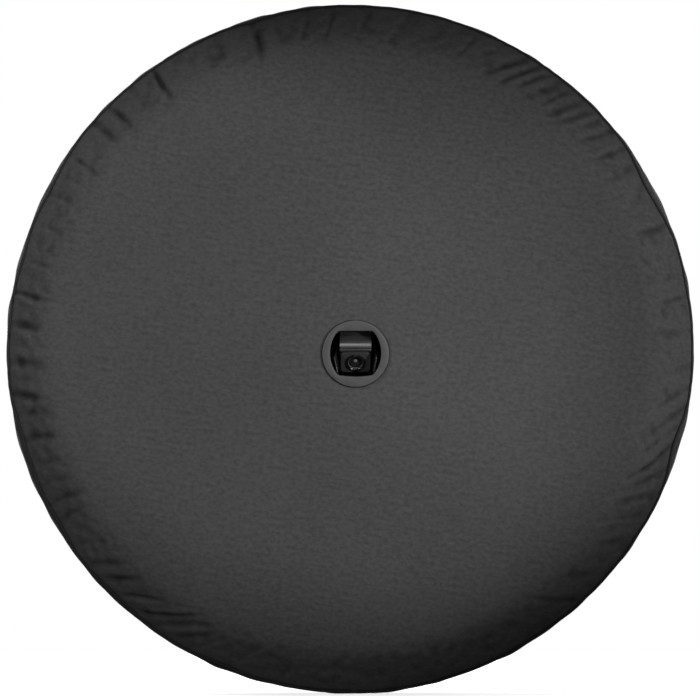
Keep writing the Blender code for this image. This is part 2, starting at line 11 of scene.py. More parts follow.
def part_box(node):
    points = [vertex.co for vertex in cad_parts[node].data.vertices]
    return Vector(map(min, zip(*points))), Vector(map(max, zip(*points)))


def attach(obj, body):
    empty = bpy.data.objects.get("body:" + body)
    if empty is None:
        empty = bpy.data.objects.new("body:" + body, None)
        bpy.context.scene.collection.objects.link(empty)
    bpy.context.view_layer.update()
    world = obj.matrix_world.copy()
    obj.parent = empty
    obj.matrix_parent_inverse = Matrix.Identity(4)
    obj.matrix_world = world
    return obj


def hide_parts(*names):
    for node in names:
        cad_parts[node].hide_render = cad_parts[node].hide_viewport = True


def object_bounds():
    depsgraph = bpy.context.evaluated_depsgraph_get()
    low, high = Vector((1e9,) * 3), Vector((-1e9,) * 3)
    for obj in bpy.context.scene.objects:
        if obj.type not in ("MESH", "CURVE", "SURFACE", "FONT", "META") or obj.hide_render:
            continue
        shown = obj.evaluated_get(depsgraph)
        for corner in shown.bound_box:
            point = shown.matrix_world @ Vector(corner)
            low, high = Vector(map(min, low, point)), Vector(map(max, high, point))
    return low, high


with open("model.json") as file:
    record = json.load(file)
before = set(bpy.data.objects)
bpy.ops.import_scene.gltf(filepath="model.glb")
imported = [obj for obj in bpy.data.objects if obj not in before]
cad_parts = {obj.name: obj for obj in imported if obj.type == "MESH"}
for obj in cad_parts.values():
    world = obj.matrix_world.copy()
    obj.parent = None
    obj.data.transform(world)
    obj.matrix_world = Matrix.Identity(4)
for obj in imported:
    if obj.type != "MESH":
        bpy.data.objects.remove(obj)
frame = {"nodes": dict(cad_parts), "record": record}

cad_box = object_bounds()

# Places and sizes from the frame, in metres. The CAD's rounds have 48 flats on the cloth and 30 on the port.
CLOTH_FLAT = math.cos(math.pi / 48)
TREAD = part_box("tread_band")[1].x / CLOTH_FLAT
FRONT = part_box("face_panel")[0].y
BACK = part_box("back_skirt")[1].y
HEM_Y = (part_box("hem_casing")[0].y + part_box("hem_casing")[1].y) / 2
HEM_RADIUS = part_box("hem_casing")[1].x / CLOTH_FLAT
BEZEL_LOW, BEZEL_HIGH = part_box("camera_bezel")
PORT = Vector(((BEZEL_LOW.x + BEZEL_HIGH.x) / 2, 0.0, (BEZEL_LOW.z + BEZEL_HIGH.z) / 2))
BEZEL_RADIUS = (BEZEL_HIGH.z - BEZEL_LOW.z) / 2
BUCKET_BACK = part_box("camera_bucket")[1].y
TILT_JOINT = frame["record"]["behaviour"]["joints"][0]
PIVOT = Vector(TILT_JOINT["pos_m"])
CAMERA_TILT = math.radians(38)
CAMERA_FRAME = Matrix.Translation(PIVOT) @ Matrix.Rotation(CAMERA_TILT, 4, "X")

# The cloth's section, as the tire shapes it: flat, a bend over the sidewall's edge, straight to the tread's
# corner, and over the tread.
FLAT = 0.350
BEND = 0.0375
SLOPE = math.radians(40)
CORNER_START = 0.4045
CORNER = 0.007
CORNER_END = math.radians(85)
DISH = 0.006
SKIRT_EDGE = HEM_RADIUS - 0.006
CLOTH = 0.0011
HOLE_RADIUS = 0.0372
AROUND = 1440


# ---------------------------------------------------------------- section of the cover


def edge_line():
    """(radius, depth) of the cloth's outer side from the flat to the tread."""
    turn = np.linspace(0, SLOPE, 40)
    bend = np.stack([FLAT + BEND * np.sin(turn), BEND * (1 - np.cos(turn))], 1)
    drop = (CORNER_START - bend[-1, 0]) * math.tan(SLOPE)
    share = np.linspace(0, 1, 30)[1:, None]
    straight = bend[-1] + share * np.array([CORNER_START - bend[-1, 0], drop])
    turn = np.linspace(SLOPE, CORNER_END, 20)[1:]
    corner = CORNER * np.stack([np.sin(turn) - math.sin(SLOPE), math.cos(SLOPE) - np.cos(turn)], 1)
    return np.concatenate([bend, straight, straight[-1] + corner])


def lengths_along(line):
    return np.concatenate([[0], np.cumsum(np.hypot(*np.diff(line, axis=0).T))])


EDGE = edge_line()
EDGE_LENGTH = lengths_along(EDGE)[-1]
EDGE_RADIUS, EDGE_DEPTH = EDGE[-1]


def section_line():
    """(radius, y) of the cloth's outer side from the middle of the face to the hem."""
    face = np.stack([np.linspace(0, FLAT, 60)[:-1], np.full(59, FRONT)], 1)
    across = np.linspace(0, 1, 60)[1:-1]
    low = FRONT + EDGE_DEPTH
    high = BACK - EDGE_DEPTH
    crown = EDGE_RADIUS + (TREAD - EDGE_RADIUS) * np.sin(math.pi * across) ** 0.7
    band = np.stack([crown, low + (high - low) * across], 1)
    before = EDGE * (1, 1) + (0, FRONT)
    behind = EDGE[::-1] * (1, -1) + (0, BACK)
    inward = np.linspace(0, 1, 30)[1:]
    skirt = np.stack([FLAT + (SKIRT_EDGE - FLAT) * inward, BACK - DISH * inward**0.8], 1)
    return np.concatenate([face, before, band, behind, skirt])


SECTION = section_line()
LENGTHS = lengths_along(SECTION)
HEM_END = float(LENGTHS[-1])
SHOULDER_START = FLAT
SHOULDER_END = FLAT + EDGE_LENGTH - CORNER * (CORNER_END - SLOPE)
SEAM_PAST_CORNER = 0.0036
SKIRT_LENGTH = float(lengths_along(SECTION[-30:])[-1])
REAR_SEAM = HEM_END - SKIRT_LENGTH - (SHOULDER_END - SHOULDER_START) - SEAM_PAST_CORNER


def on_section(s):
    """Radius, y and outward normal of the section at the length s from its middle."""
    step = 0.0015
    radius = np.interp(s, LENGTHS, SECTION[:, 0])
    y = np.interp(s, LENGTHS, SECTION[:, 1])
    dr = np.interp(s + step, LENGTHS, SECTION[:, 0]) - np.interp(s - step, LENGTHS, SECTION[:, 0])
    dy = np.interp(s + step, LENGTHS, SECTION[:, 1]) - np.interp(s - step, LENGTHS, SECTION[:, 1])
    size = np.hypot(dr, dy) + 1e-12
    return radius, y, dy / size, -dr / size


def smooth(x, low, high):
    t = np.clip((x - low) / (high - low), 0, 1)
    return t * t * (3 - 2 * t)


def ripple(angle, s, seed, waves, count=24, spread=40.0):
    """Smooth noise of about unit size, periodic round the rim, waves being its range of waves per turn."""
    rng = np.random.default_rng(seed)
    total = 0.0
    for _ in range(count):
        k = rng.integers(waves[0], waves[1])
        total = total + np.cos(k * angle + rng.uniform(-spread, spread) * s + rng.uniform(0, 2 * math.pi))
    return total / math.sqrt(count / 2)


def apart(angle, centre):
    """Angle from centre in degrees, from -180 to 180."""
    return (np.degrees(angle) - centre + 180) % 360 - 180


# Where the piped seam is drawn in from the tread's corner: angle and half width in degrees, depth in metres.
SEAM_DIPS = [
    (28, 6.0, 0.0085), (106, 7, 0.0030), (152, 5, 0.0058), (164.5, 5, 0.0050), (175, 5, 0.0030),
    (198, 9, 0.0058), (211, 6, 0.0042), (226, 6, 0.0040), (250, 12, 0.0022), (343.5, 5.5, 0.0085),
    (322, 9, 0.0012),
]


def seam_place(angle):
    """Length along the section at which the front seam lies."""
    s = SHOULDER_END + SEAM_PAST_CORNER + 0.0004 * ripple(angle, 0.0, 3, (8, 40))
    for centre, half, depth in SEAM_DIPS:
        s = s - depth * np.exp(-((apart(angle, centre) / half) ** 2))
    return s


# Creases over the front shoulder: angle at the seam and lean by the flat, in degrees, and strength.
CREASES = [
    (3.0, 0.3, 0.5), (9.0, -0.3, 0.7), (12.5, 0, 0.25), (16, 0, 0.2), (21.4, 0.6, 0.85), (24.8, 0, 0.4),
    (28.5, 0, 0.2), (32.5, -0.6, 0.45), (36, 0.6, 0.75), (39.5, 1.0, 0.6), (42.3, 1.2, 0.7),
    (44.4, 1.4, 0.85), (46.6, 1.0, 0.75), (49.0, 0.6, 0.45), (51.6, 1.8, 0.55), (53.5, 2.4, 0.75),
    (55.6, 3.0, 0.9), (58.2, 4.2, 1.0), (62.5, 4.0, 0.3), (67.5, 1.2, 0.5), (73, 1, 0.35),
    (79.5, 0.5, 0.4), (86, 0.5, 0.4), (92.5, 0.3, 0.45), (97, 0, 0.4), (103.2, 0, 0.55),
    (106.8, 0.5, 0.95), (113.5, 0.3, 0.5), (119, 0, 0.2), (125.2, 0.4, 1.2), (130, 0.2, 0.3),
    (135, 0, 0.75), (138.6, 0.4, 0.75), (145.4, 0.3, 0.55), (149, 0, 0.25), (152.6, 0.2, 0.4),
    (158, 0.5, 0.2), (164.8, 0.6, 0.35), (170.3, 0.7, 0.95), (175.8, 1.4, 0.95), (182.3, 1.4, 0.8),
    (185.3, 0.6, 0.3), (187.6, 2.4, 0.9), (191.2, 0.5, 0.5), (195.6, 1.6, 0.7), (200, 0.6, 0.3),
    (204, 0.4, 0.3), (207.6, 0.8, 0.6), (210.6, 1.0, 0.4), (215, 2.4, 0.3), (218.8, 3.6, 0.6),
    (222.4, 3.8, 0.8), (226, 5.6, 0.85), (230.3, 6.4, 0.75), (233.6, 6.6, 0.75), (237.6, 5.6, 0.5),
    (241.5, 4.6, 0.35), (249, 3, 0.2), (258, 1, 0.25), (267, 0, 0.2), (276, -1, 0.25),
    (284, -2.4, 0.25), (296, -3.6, 0.25), (305, -4.2, 0.3), (313.2, -4.8, 0.6), (319, -4.4, 0.3),
    (326.5, -3.4, 0.3), (331, -3, 0.35), (335.4, -3.2, 0.5), (339.2, -4.2, 0.6), (343.8, -5.6, 1.0),
    (347.2, -4.8, 0.5), (350.6, -4.8, 0.7), (353.8, -3.2, 0.45), (357, -1.6, 0.35),
]
UPPER_RIGHT_SWEEP = 2.8
LOWER_SWEEP = 2.0
LEFT_DEPTH = 1.25
TOP_DEPTH = 0.8
CREASE_DEPTH = 0.0036
CREASE_HALF_WIDTH = 0.64


def crease_lean(centre, lean):
    """The upper right creases all sweep one way, and those of the lower sides lean twice as far."""
    if 212 < centre < 262 or centre > 300:
        return LOWER_SWEEP * lean
    if 17 < centre < 98:
        return lean + UPPER_RIGHT_SWEEP * smooth(centre, 17, 45)
    return lean


def crease_strength(centre, strength):
    """Shallower along the top, where the cloth is drawn smooth, and deeper down the left side."""
    if 60 < centre < 104:
        return TOP_DEPTH * strength
    return LEFT_DEPTH * strength if 104 < centre < 212 else strength


def crease_shape(angle, across, seed=11):
    """Puckers over the shoulder, -1 in a deep one. across is 0 where the shoulder starts, 1 at the seam."""
    rng = np.random.default_rng(seed)
    shape = np.zeros_like(angle + across)
    for centre, lean, strength in CREASES:
        lean = crease_lean(centre, lean)
        strength = crease_strength(centre, strength)
        start = rng.uniform(-0.10, 0.15)
        width = CREASE_HALF_WIDTH * rng.uniform(0.75, 1.4)
        width = width * (0.75 + 0.25 * strength) * math.hypot(1, 0.11 * lean)
        side = rng.choice([-1.0, 1.0])
        bend = rng.uniform(-0.5, 0.5) * np.sin(math.pi * across)
        away = apart(angle, centre) - lean * (1 - across) - bend
        peak = rng.uniform(0.45, 0.75)
        shown = strength * smooth(across, start, peak) * (1 - 0.4 * smooth(across, peak, 1.0))
        valley = -np.exp(-((away / width) ** 2))
        ridge = 0.55 * np.exp(-(((away - side * 1.8 * width) / (1.3 * width)) ** 2))
        shape = shape + shown * (valley + ridge)
    return shape


def shoulder_share(angle, s):
    """0 where the shoulder starts and 1 at the front seam."""
    return (s - SHOULDER_START) / (seam_place(angle) - SHOULDER_START)


def pucker(angle, s):
    """Soft unevenness of the cloth over the shoulder, of about unit size."""
    return smooth(shoulder_share(angle, s), 0.0, 0.3) * ripple(angle, s, 21, (10, 120), 90, 380)


def crease_shade_amount(angle, s):
    """Painted shade for the creases, which darkens the canvas's colour: about -1 in the deepest crease and
    above 0 on the ridges.
    """
    return crease_shape(angle, shoulder_share(angle, s)) + 0.14 * pucker(angle, s)


def front_height(angle, s):
    """How far the face cloth stands off the plain section."""
    across = shoulder_share(angle, s)
    over = smooth(across, 0.15, 0.6)
    height = CREASE_DEPTH * crease_shape(angle, across) + 0.0004 * pucker(angle, s)
    height = height * (1 - 0.85 * smooth(across, 0.75, 0.97))
    height = height + 0.0004 * over * (1 - smooth(across, 0.6, 1.0)) * ripple(angle, s, 24, (9, 24), 20, 30)
    height = height + 0.00020 * ripple(angle, s, 23, (2, 9), 14, 25) * smooth(s, 0.05, 0.2)
    to_seam = seam_place(angle) - s
    return height + rim_swell(angle) * smooth(across, 0.5, 1.0) - 0.0013 * np.exp(-((to_seam / 0.003) ** 2))


def band_height(angle, s):
    """How far the tread cloth stands off: puckers by both seams and slack between them."""
    from_front = s - seam_place(angle)
    from_back = REAR_SEAM - s
    near = np.exp(-from_front / 0.020) + np.exp(-from_back / 0.020)
    height = 0.0005 * near * (1 - near) * ripple(angle, s, 31, (60, 150), 40, 60)
    height = height + 0.0002 * ripple(angle, s, 32, (5, 22), 20, 14)
    height = height + 0.00045 * ripple(angle, s, 33, (20, 60), 24, 40) * (1 - near)
    height = height - 0.0013 * (np.exp(-((from_front / 0.003) ** 2)) + np.exp(-((from_back / 0.003) ** 2)))
    return height + rim_swell(angle)


def rim_swell(angle):
    """The rim isn't a true circle: it sags a little at the bottom and is drawn in at the upper left."""
    sag = 0.0016 * np.exp(-((apart(angle, 275) / 50) ** 2))
    return sag - 0.0014 * np.exp(-((apart(angle, 163) / 16) ** 2))


GATHERS = 92


def gather_height(angle, s):
    """Gathers behind the tire: broad by the shoulder, doubling in number towards the elastic."""
    in_skirt = (s - REAR_SEAM) / (HEM_END - REAR_SEAM)
    warp = 0.020 * ripple(angle, s, 41, (3, 14), 16, 12) + 0.006 * ripple(angle, s, 42, (20, 60), 20, 20)
    phase = angle + warp
    fine = np.cos(GATHERS * phase + 0.8)
    middle = np.cos(GATHERS / 2 * phase + 2.2)
    broad = np.cos(GATHERS / 4 * phase + 2.0)
    strength = 0.7 + 0.3 * ripple(angle, s, 43, (8, 40), 20, 6)
    height = 0.0024 * smooth(in_skirt, 0.45, 1.0) * fine
    height = height + 0.0030 * smooth(in_skirt, 0.15, 0.6) * (1 - 0.5 * smooth(in_skirt, 0.7, 1)) * middle
    height = height + 0.0014 * smooth(in_skirt, 0.0, 0.3) * broad
    height = height * strength
    return height - 0.0013 * np.exp(-(((s - REAR_SEAM) / 0.0035) ** 2)) + rim_swell(angle) * (1 - in_skirt)


# ---------------------------------------------------------------- meshes


def grid_object(name, points, uv=None, close_rows=False, looks=(), body="cover"):
    """A mesh from points of shape (rows, columns, 3), its columns wrapping round. Faces look outward."""
    rows, columns = points.shape[:2]
    row_count = rows if close_rows else rows - 1
    i, j = np.meshgrid(np.arange(row_count), np.arange(columns), indexing="ij")
    down = (i + 1) % rows
    right = (j + 1) % columns
    quads = np.stack([i * columns + j, down * columns + j, down * columns + right, i * columns + right], -1)
    mesh = bpy.data.meshes.new(name)
    mesh.from_pydata(points.reshape(-1, 3).tolist(), [], quads.reshape(-1, 4).tolist())
    if uv is not None:
        layer = mesh.uv_layers.new(name="cloth")
        wide = np.stack([uv[i, j], uv[down, j], uv[down, j + 1], uv[i, j + 1]], 2)
        layer.data.foreach_set("uv", wide.reshape(-1).astype(np.float32))
    mesh.shade_smooth()
    return finish_object(name, mesh, looks, body)


def finish_object(name, mesh, looks, body):
    obj = bpy.data.objects.new(name, mesh)
    bpy.context.scene.collection.objects.link(obj)
    for look in looks:
        mesh.materials.append(look)
    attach(obj, body)
    return obj


def around(count=AROUND, extra=0):
    return np.arange(count + extra) * (2 * math.pi / count)


def cloth_points(angle, s, height):
    radius, y, out_r, out_y = on_section(s)
    radius = radius + out_r * height
    y = y + out_y * height
    return np.stack([radius * np.cos(angle), y + 0 * angle, radius * np.sin(angle)], -1)


def cloth_shell(obj, inner_look_index=1):
    """Gives the cloth its thickness, inwards, with the lining on its inner side."""
    solid = obj.modifiers.new("thickness", "SOLIDIFY")
    solid.thickness = CLOTH
    solid.offset = -1
    solid.material_offset = inner_look_index
    solid.use_even_offset = False
    return obj


def make_face(looks):
    """Face cloth from the port's hole to the front seam, square to its own weave."""
    angle = around()[None, :]
    edge = np.linspace(0, 1, 20)[:, None] ** 1.15
    inner = 0.10
    share = np.linspace(0, 1, 26)[1:, None]
    rim = np.linspace(0, 1, 92)[1:, None]
    rim_start = 0.335
    seam = seam_place(angle)
    s = np.concatenate([
        (HOLE_RADIUS + (inner - HOLE_RADIUS) * edge) + 0 * angle,
        (inner + (rim_start - inner) * share) + 0 * angle,
        rim_start + (seam - rim_start) * rim,
    ])
    points = cloth_points(angle + 0 * s, s, front_height(angle, s))
    to_port = 1 - smooth(s, HOLE_RADIUS, inner * 1.6)
    points[..., 0] += PORT.x * to_port
    points[..., 2] += PORT.z * to_port
    pull = np.hypot(points[..., 0] - PORT.x, points[..., 2] - PORT.z) - HOLE_RADIUS
    points[..., 1] += 0.0006 * np.exp(-((pull / 0.006) ** 2))
    turn = around(extra=1)[None, :]
    long = np.concatenate([s, s[:, :1]], 1)
    shift = np.concatenate([to_port, to_port[:, :1]], 1)
    uv = np.stack([long * np.cos(turn) + PORT.x * shift, long * np.sin(turn) + PORT.z * shift], -1)
    face = grid_object("face_cloth", points, uv, looks=(looks["canvas"], looks["lining"]))
    # Painted shade: the crease amount is stored on the cloth so that the canvas can darken its colour in the
    # creases.
    crease_shade = face.data.attributes.new("crease_shade", "FLOAT", "POINT")
    crease_shade.data.foreach_set("value", crease_shade_amount(angle, s).reshape(-1).astype(np.float32))
    cloth_shell(face)
    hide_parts("face_panel")
    return face


def make_strip(name, s, height, looks):
    """A strip of cloth round the cover, its weave along the strip."""
    angle = around()[None, :]
    points = cloth_points(angle + 0 * s, s, height)
    turn = around(extra=1)[None, :]
    long = np.concatenate([s, s[:, :1]], 1)
    uv = np.stack([turn * TREAD + 0 * long, long], -1)
    strip = grid_object(name, points, uv, looks=(looks["canvas"], looks["lining"]))
    return cloth_shell(strip)


def make_band(looks):
    angle = around()[None, :]
    share = np.linspace(0, 1, 64)[:, None]
    seam = seam_place(angle)
    s = seam + (REAR_SEAM - seam) * share
    band = make_strip("tread_cloth", s, band_height(angle, s), looks)
    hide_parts("tread_band")
    return band


def make_skirt(looks):
    angle = around()[None, :]
    share = np.linspace(0, 1, 72)[:, None]
    s = REAR_SEAM + (HEM_END - REAR_SEAM) * share + 0 * angle
    skirt = make_strip("skirt_cloth", s, gather_height(angle, s), looks)
    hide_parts("back_skirt")
    return skirt


def tube(name, path, radius, sides, looks, wide=1.0):
    """A closed tube along a closed path of shape (columns, 3) that runs round the Y axis."""
    along = np.roll(path, -1, 0) - np.roll(path, 1, 0)
    along /= np.linalg.norm(along, axis=1)[:, None]
    out = path * (1, 0, 1)
    out = out - (out * along).sum(1)[:, None] * along
    out /= np.linalg.norm(out, axis=1)[:, None]
    side = np.cross(along, out)
    turn = np.arange(sides) * (2 * math.pi / sides)
    points = path[None] + radius * (
        np.cos(turn)[:, None, None] * out[None] + wide * np.sin(turn)[:, None, None] * side[None]
    )
    length = np.concatenate([[0], np.cumsum(np.linalg.norm(np.diff(path, axis=0, append=path[:1]), axis=1))])
    uv = np.stack(np.broadcast_arrays(length[None, :], (np.arange(sides) * radius)[:, None]), -1)
    return grid_object(name, points, uv, close_rows=True, looks=looks)


WELT = 0.0016


def make_welts(looks):
    angle = around()
    for name, s, height, node in (
        ("front_piping", seam_place(angle), front_height(angle, seam_place(angle)), "front_welt"),
        ("rear_piping", REAR_SEAM + 0 * angle, gather_height(angle, REAR_SEAM + 0 * angle), "rear_welt"),
    ):
        path = cloth_points(angle, s, height + WELT * 0.75)
        piping = tube(name, path, WELT, 12, (looks["piping"],))
        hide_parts(node)


def make_seam_tapes(looks):
    """Bound seam allowances that stand up inside the cover along both seams."""
    angle = around()
    for name, s, height in (
        ("front_seam_tape", seam_place(angle), front_height(angle, seam_place(angle))),
        ("rear_seam_tape", REAR_SEAM + 0 * angle, gather_height(angle, REAR_SEAM + 0 * angle)),
    ):
        wave = 0.0012 * ripple(angle, 0.0, 51, (30, 90))
        path = cloth_points(angle, s, height - CLOTH - 0.0052)
        path[:, 1] += wave
        tube(name, path, 0.0052, 12, (looks["tape"],), wide=0.26)


def hem_wave(angle):
    """How far the gathered hem's middle stands off its plane."""
    s = np.full_like(angle, HEM_END - 0.004)
    return gather_height(angle, s)


def make_hem(looks):
    """The binding folded over the skirt's edge, crimped by the elastic inside it, and the elastic."""
    angle = around()
    inner = HEM_RADIUS - 0.0285
    fold = 0.0022
    width = HEM_RADIUS - inner - fold
    flat = np.linspace(0, 1, 15)
    turns = np.linspace(math.pi / 2, 3 * math.pi / 2, 11)[1:-1]
    reach = np.concatenate([fold + width * (1 - flat), fold + fold * np.cos(turns), fold + width * flat])
    lift = np.concatenate([0 * flat + 1, np.sin(turns), 0 * flat - 1])
    out = np.clip((reach - fold) / width, 0, 1)
    radius = inner + reach[:, None] + 0.0012 * ripple(angle, 0.0, 62, (20, 70), 20)[None]
    puff = 1 + 0.2 * np.cos(GATHERS * angle + 5 * ripple(angle, 0.0, 63, (3, 12)))[None]
    crimp = 0.0005 * ripple(angle, 0.0, 61, (150, 260), 30)[None] * np.sin(math.pi * out)[:, None]
    half = fold * puff * (1 - 0.35 * out[:, None]) + crimp
    wave = hem_wave(angle)[None] * (0.55 + 0.45 * out[:, None])
    y = HEM_Y + wave + half * lift[:, None]
    points = np.stack([radius * np.cos(angle)[None], y, radius * np.sin(angle)[None]], -1)
    turn = around(extra=1)
    uv_across = np.linspace(0, 0.06, len(reach))[:, None]
    uv = np.stack(np.broadcast_arrays((turn * inner)[None, :], uv_across), -1)
    casing = grid_object("hem_binding", points, uv, looks=(looks["tape"],))
    cloth_shell(casing, 0).modifiers["thickness"].thickness = 0.0008
    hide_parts("hem_casing")
    rows = []
    for reach, up_y in ((0.004, -0.0004), (0.014, -0.0004), (0.014, 0.0004), (0.004, 0.0004)):
        y = HEM_Y + hem_wave(angle) * (0.55 + 0.45 * (reach - fold) / width) + up_y
        rows.append(np.stack([(inner + reach) * np.cos(angle), y, (inner + reach) * np.sin(angle)], -1))
    elastic = grid_object(
        "hem_elastic_band", np.array(rows), close_rows=True, looks=(looks["elastic"],)
    )
    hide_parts("hem_elastic")


def stitch_mesh(name, starts, ends, normals, look, body, radius=0.00038):
    """A row of stitches, each a short thread that dips into the cloth at both ends."""
    sides = 6
    along = ends - starts
    length = np.linalg.norm(along, axis=1)[:, None]
    along = along / length
    side = np.cross(along, normals)
    stops = [(0.0, -0.9, 0.55), (0.15, 0.35, 0.95), (0.5, 0.6, 1.05), (0.85, 0.35, 0.95), (1.0, -0.9, 0.55)]
    rings = []
    for place, lift, thick in stops:
        centre = starts + along * length * place + normals * radius * lift
        for k in range(sides):
            turn = 2 * math.pi * k / sides
            rings.append(centre + radius * thick * (math.cos(turn) * side + math.sin(turn) * normals))
    points = np.stack(rings, 1)
    count = len(points)
    per = len(stops) * sides
    quads = []
    for ring in range(len(stops) - 1):
        for k in range(sides):
            a = ring * sides + k
            b = ring * sides + (k + 1) % sides
            quads.append((a, b, b + sides, a + sides))
    caps = [tuple(range(sides))[::-1], tuple(range(per - sides, per))]
    faces = []
    for n in range(count):
        base = n * per
        faces += [tuple(base + v for v in quad) for quad in quads]
        faces += [tuple(base + v for v in cap) for cap in caps]
    mesh = bpy.data.meshes.new(name)
    mesh.from_pydata(points.reshape(-1, 3).tolist(), [], faces)
    mesh.shade_smooth()
    bm = bmesh.new()
    bm.from_mesh(mesh)
    bmesh.ops.recalc_face_normals(bm, faces=bm.faces)
    bm.to_mesh(mesh)
    bm.free()
    return finish_object(name, mesh, (look,), body)


def ring_stitches(name, curve, count, look, body="cover"):
    """Stitches along curve(angle), which gives points and normals round the cover."""
    start = np.arange(count) * (2 * math.pi / count)
    gap = 0.28
    end = start + (1 - gap) * 2 * math.pi / count
    first, normal = curve(start)
    last, _ = curve(end)
    return stitch_mesh(name, first, last, normal, look, body)


def cloth_curve(place, height):
    """A curve on the cloth for ring_stitches: place(angle) is the length along the section."""

    def curve(angle):
        s = place(angle)
        _, _, out_r, out_y = on_section(s)
        points = cloth_points(angle, s, height(angle, s))
        normals = np.stack([out_r * np.cos(angle), out_y + 0 * angle, out_r * np.sin(angle)], -1)
        return points, normals

    return curve


def make_stitching(looks):
    pitch = 0.0042
    count = int(2 * math.pi * TREAD / pitch)
    thread = looks["thread"]
    behind = cloth_curve(lambda a: seam_place(a) + 0.0062, band_height)
    ring_stitches("front_topstitch", behind, count, thread)
    before = cloth_curve(lambda a: REAR_SEAM - 0.0062 + 0 * a, band_height)
    ring_stitches("rear_topstitch", before, count, thread)


# ---------------------------------------------------------------- camera port


def lathe(name, outline, looks, centre=(0, 0, 0), steps=96, body="cover", matrix=None, sharp=35):
    """A closed (radius, y) outline turned about the Y axis through centre, or in its own frame by matrix."""
    bm = bmesh.new()
    verts = [bm.verts.new((r, y, 0)) for r, y in outline]
    on_axis = outline[0][0] == 0
    edges = [bm.edges.new(pair) for pair in zip(verts, verts[1:])]
    if not on_axis:
        edges.append(bm.edges.new((verts[-1], verts[0])))
    bmesh.ops.spin(bm, geom=verts + edges, cent=(0, 0, 0), axis=(0, 1, 0), angle=2 * math.pi, steps=steps)
    bmesh.ops.remove_doubles(bm, verts=bm.verts, dist=1e-6)
    bmesh.ops.recalc_face_normals(bm, faces=bm.faces)
    bm.transform(matrix if matrix is not None else Matrix.Translation(centre))
    mesh = bpy.data.meshes.new(name)
    bm.to_mesh(mesh)
    bm.free()
    mesh.shade_smooth()
    mesh.set_sharp_from_angle(angle=math.radians(sharp))
    return finish_object(name, mesh, looks, body)


def window_radius(angle):
    """Distance from the port's middle to the window's edge: flat top, bulging sides, shallow bottom."""
    top = 0.0268
    side_radius, side_shift, side_z = 0.0400, 0.0098, 0.0007
    low_radius, low_z = 0.143, 0.1162
    direction = np.stack([np.cos(angle), np.sin(angle)])

    def to_circle(x, z, radius):
        along = direction[0] * x + direction[1] * z
        return along + np.sqrt(along**2 - x * x - z * z + radius**2)

    limits = [
        to_circle(-side_shift, side_z, side_radius),
        to_circle(side_shift, side_z, side_radius),
        to_circle(0.0, low_z, low_radius),
        top / np.maximum(direction[1], 0.05),
    ]
    power = 46.0
    return sum(limit**-power for limit in limits) ** (-1 / power)


def port_circle(radius, y, angle):
    """Points round the port's axis at the depth y."""
    return np.stack([PORT.x + radius * np.cos(angle), y + 0 * angle, PORT.z + radius * np.sin(angle)], -1)


def make_bezel(looks):
    """The round trim, crowned, with rounded edges outside and round the window."""
    angle = around(300)
    window = window_radius(angle)
    front = BEZEL_LOW.y
    back = front + 0.0022
    edge = 0.0007
    inner_edge = 0.0011
    rows = [(window, back + 0.0010)]
    for turn in np.linspace(0, math.pi / 2, 7):
        rows.append((window + inner_edge * (1 - math.cos(turn)), front + inner_edge * (1 - math.sin(turn))))
    start = window + inner_edge
    end = BEZEL_RADIUS - edge
    for share in np.linspace(0, 1, 8)[1:]:
        rows.append((start + (end - start) * share, front - 0.0002 * math.sin(math.pi * share)))
    for turn in np.linspace(0, math.pi / 2, 5)[1:]:
        rows.append((end + edge * math.sin(turn) + 0 * window, front + edge * (1 - math.cos(turn))))
    rows.append((BEZEL_RADIUS + 0 * window, back))
    rows.append((0.0349 + 0 * window, back))
    rows.append((0.0349 + 0 * window, 0.004))
    rows.append((0.0328 + 0 * window, 0.004))
    rows.append((0.0328 + 0 * window, back + 0.0010))
    points = np.array([port_circle(radius, y, angle) for radius, y in rows])
    bezel = grid_object("port_trim", points, close_rows=True, looks=(looks["bezel"],))
    bezel.data.set_sharp_from_angle(angle=math.radians(50))
    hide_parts("camera_bezel")


def make_gasket(looks):
    low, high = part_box("bezel_gasket")
    outer = (high.z - low.z) / 2
    bore, ease = 0.0377, 0.0004
    outline = [(bore, low.y), (outer - ease, low.y), (outer, low.y + ease), (outer, high.y), (bore, high.y)]
    gasket = lathe("port_gasket", outline, (looks["rubber"],), PORT, 120)
    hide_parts("bezel_gasket")


def make_bucket(looks):
    """The deep cup, with moulded steps inside and ribs on its outer wall behind the lock ring."""
    outer, inner, floor, back = 0.0368, 0.0352, 0.0626, 0.0650
    outline = [
        (inner, FRONT), (outer, FRONT), (outer, 0.0135), (outer - 0.0008, 0.0145),
        (outer - 0.0008, back - 0.004), (outer - 0.0020, back - 0.0015), (outer - 0.0045, back),
        (0.027, back), (0.027, BUCKET_BACK - 0.0004), (0.0266, BUCKET_BACK), (0.0224, BUCKET_BACK),
        (0.022, BUCKET_BACK - 0.0004), (0.022, back), (0.0062, back), (0.0062, floor),
        (inner - 0.003, floor), (inner - 0.0008, floor - 0.0012), (inner, floor - 0.004),
    ]
    bucket = lathe("port_bucket", outline, (looks["black"],), PORT, 96)
    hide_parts("camera_bucket")
    ribs = bmesh.new()
    count = 12
    for k in range(count):
        turn = Matrix.Rotation(2 * math.pi * k / count, 4, "Y")
        place = Matrix.Translation(PORT) @ turn @ Matrix.Translation((outer - 0.0006, 0.038, 0))
        size = Matrix.Diagonal((0.0030, 0.042, 0.0018, 1))
        bmesh.ops.create_cube(ribs, size=1.0, matrix=place @ size)
    box_object("bucket_ribs", ribs, 0.0004, looks["black"], "cover")


def ease_edges(obj, width, sharp):
    """Rounds the edges whose faces turn by more than sharp degrees."""
    soft = obj.modifiers.new("edges", "BEVEL")
    soft.width = width
    soft.segments = 3
    soft.limit_method = "ANGLE"
    soft.angle_limit = math.radians(sharp)
    return soft


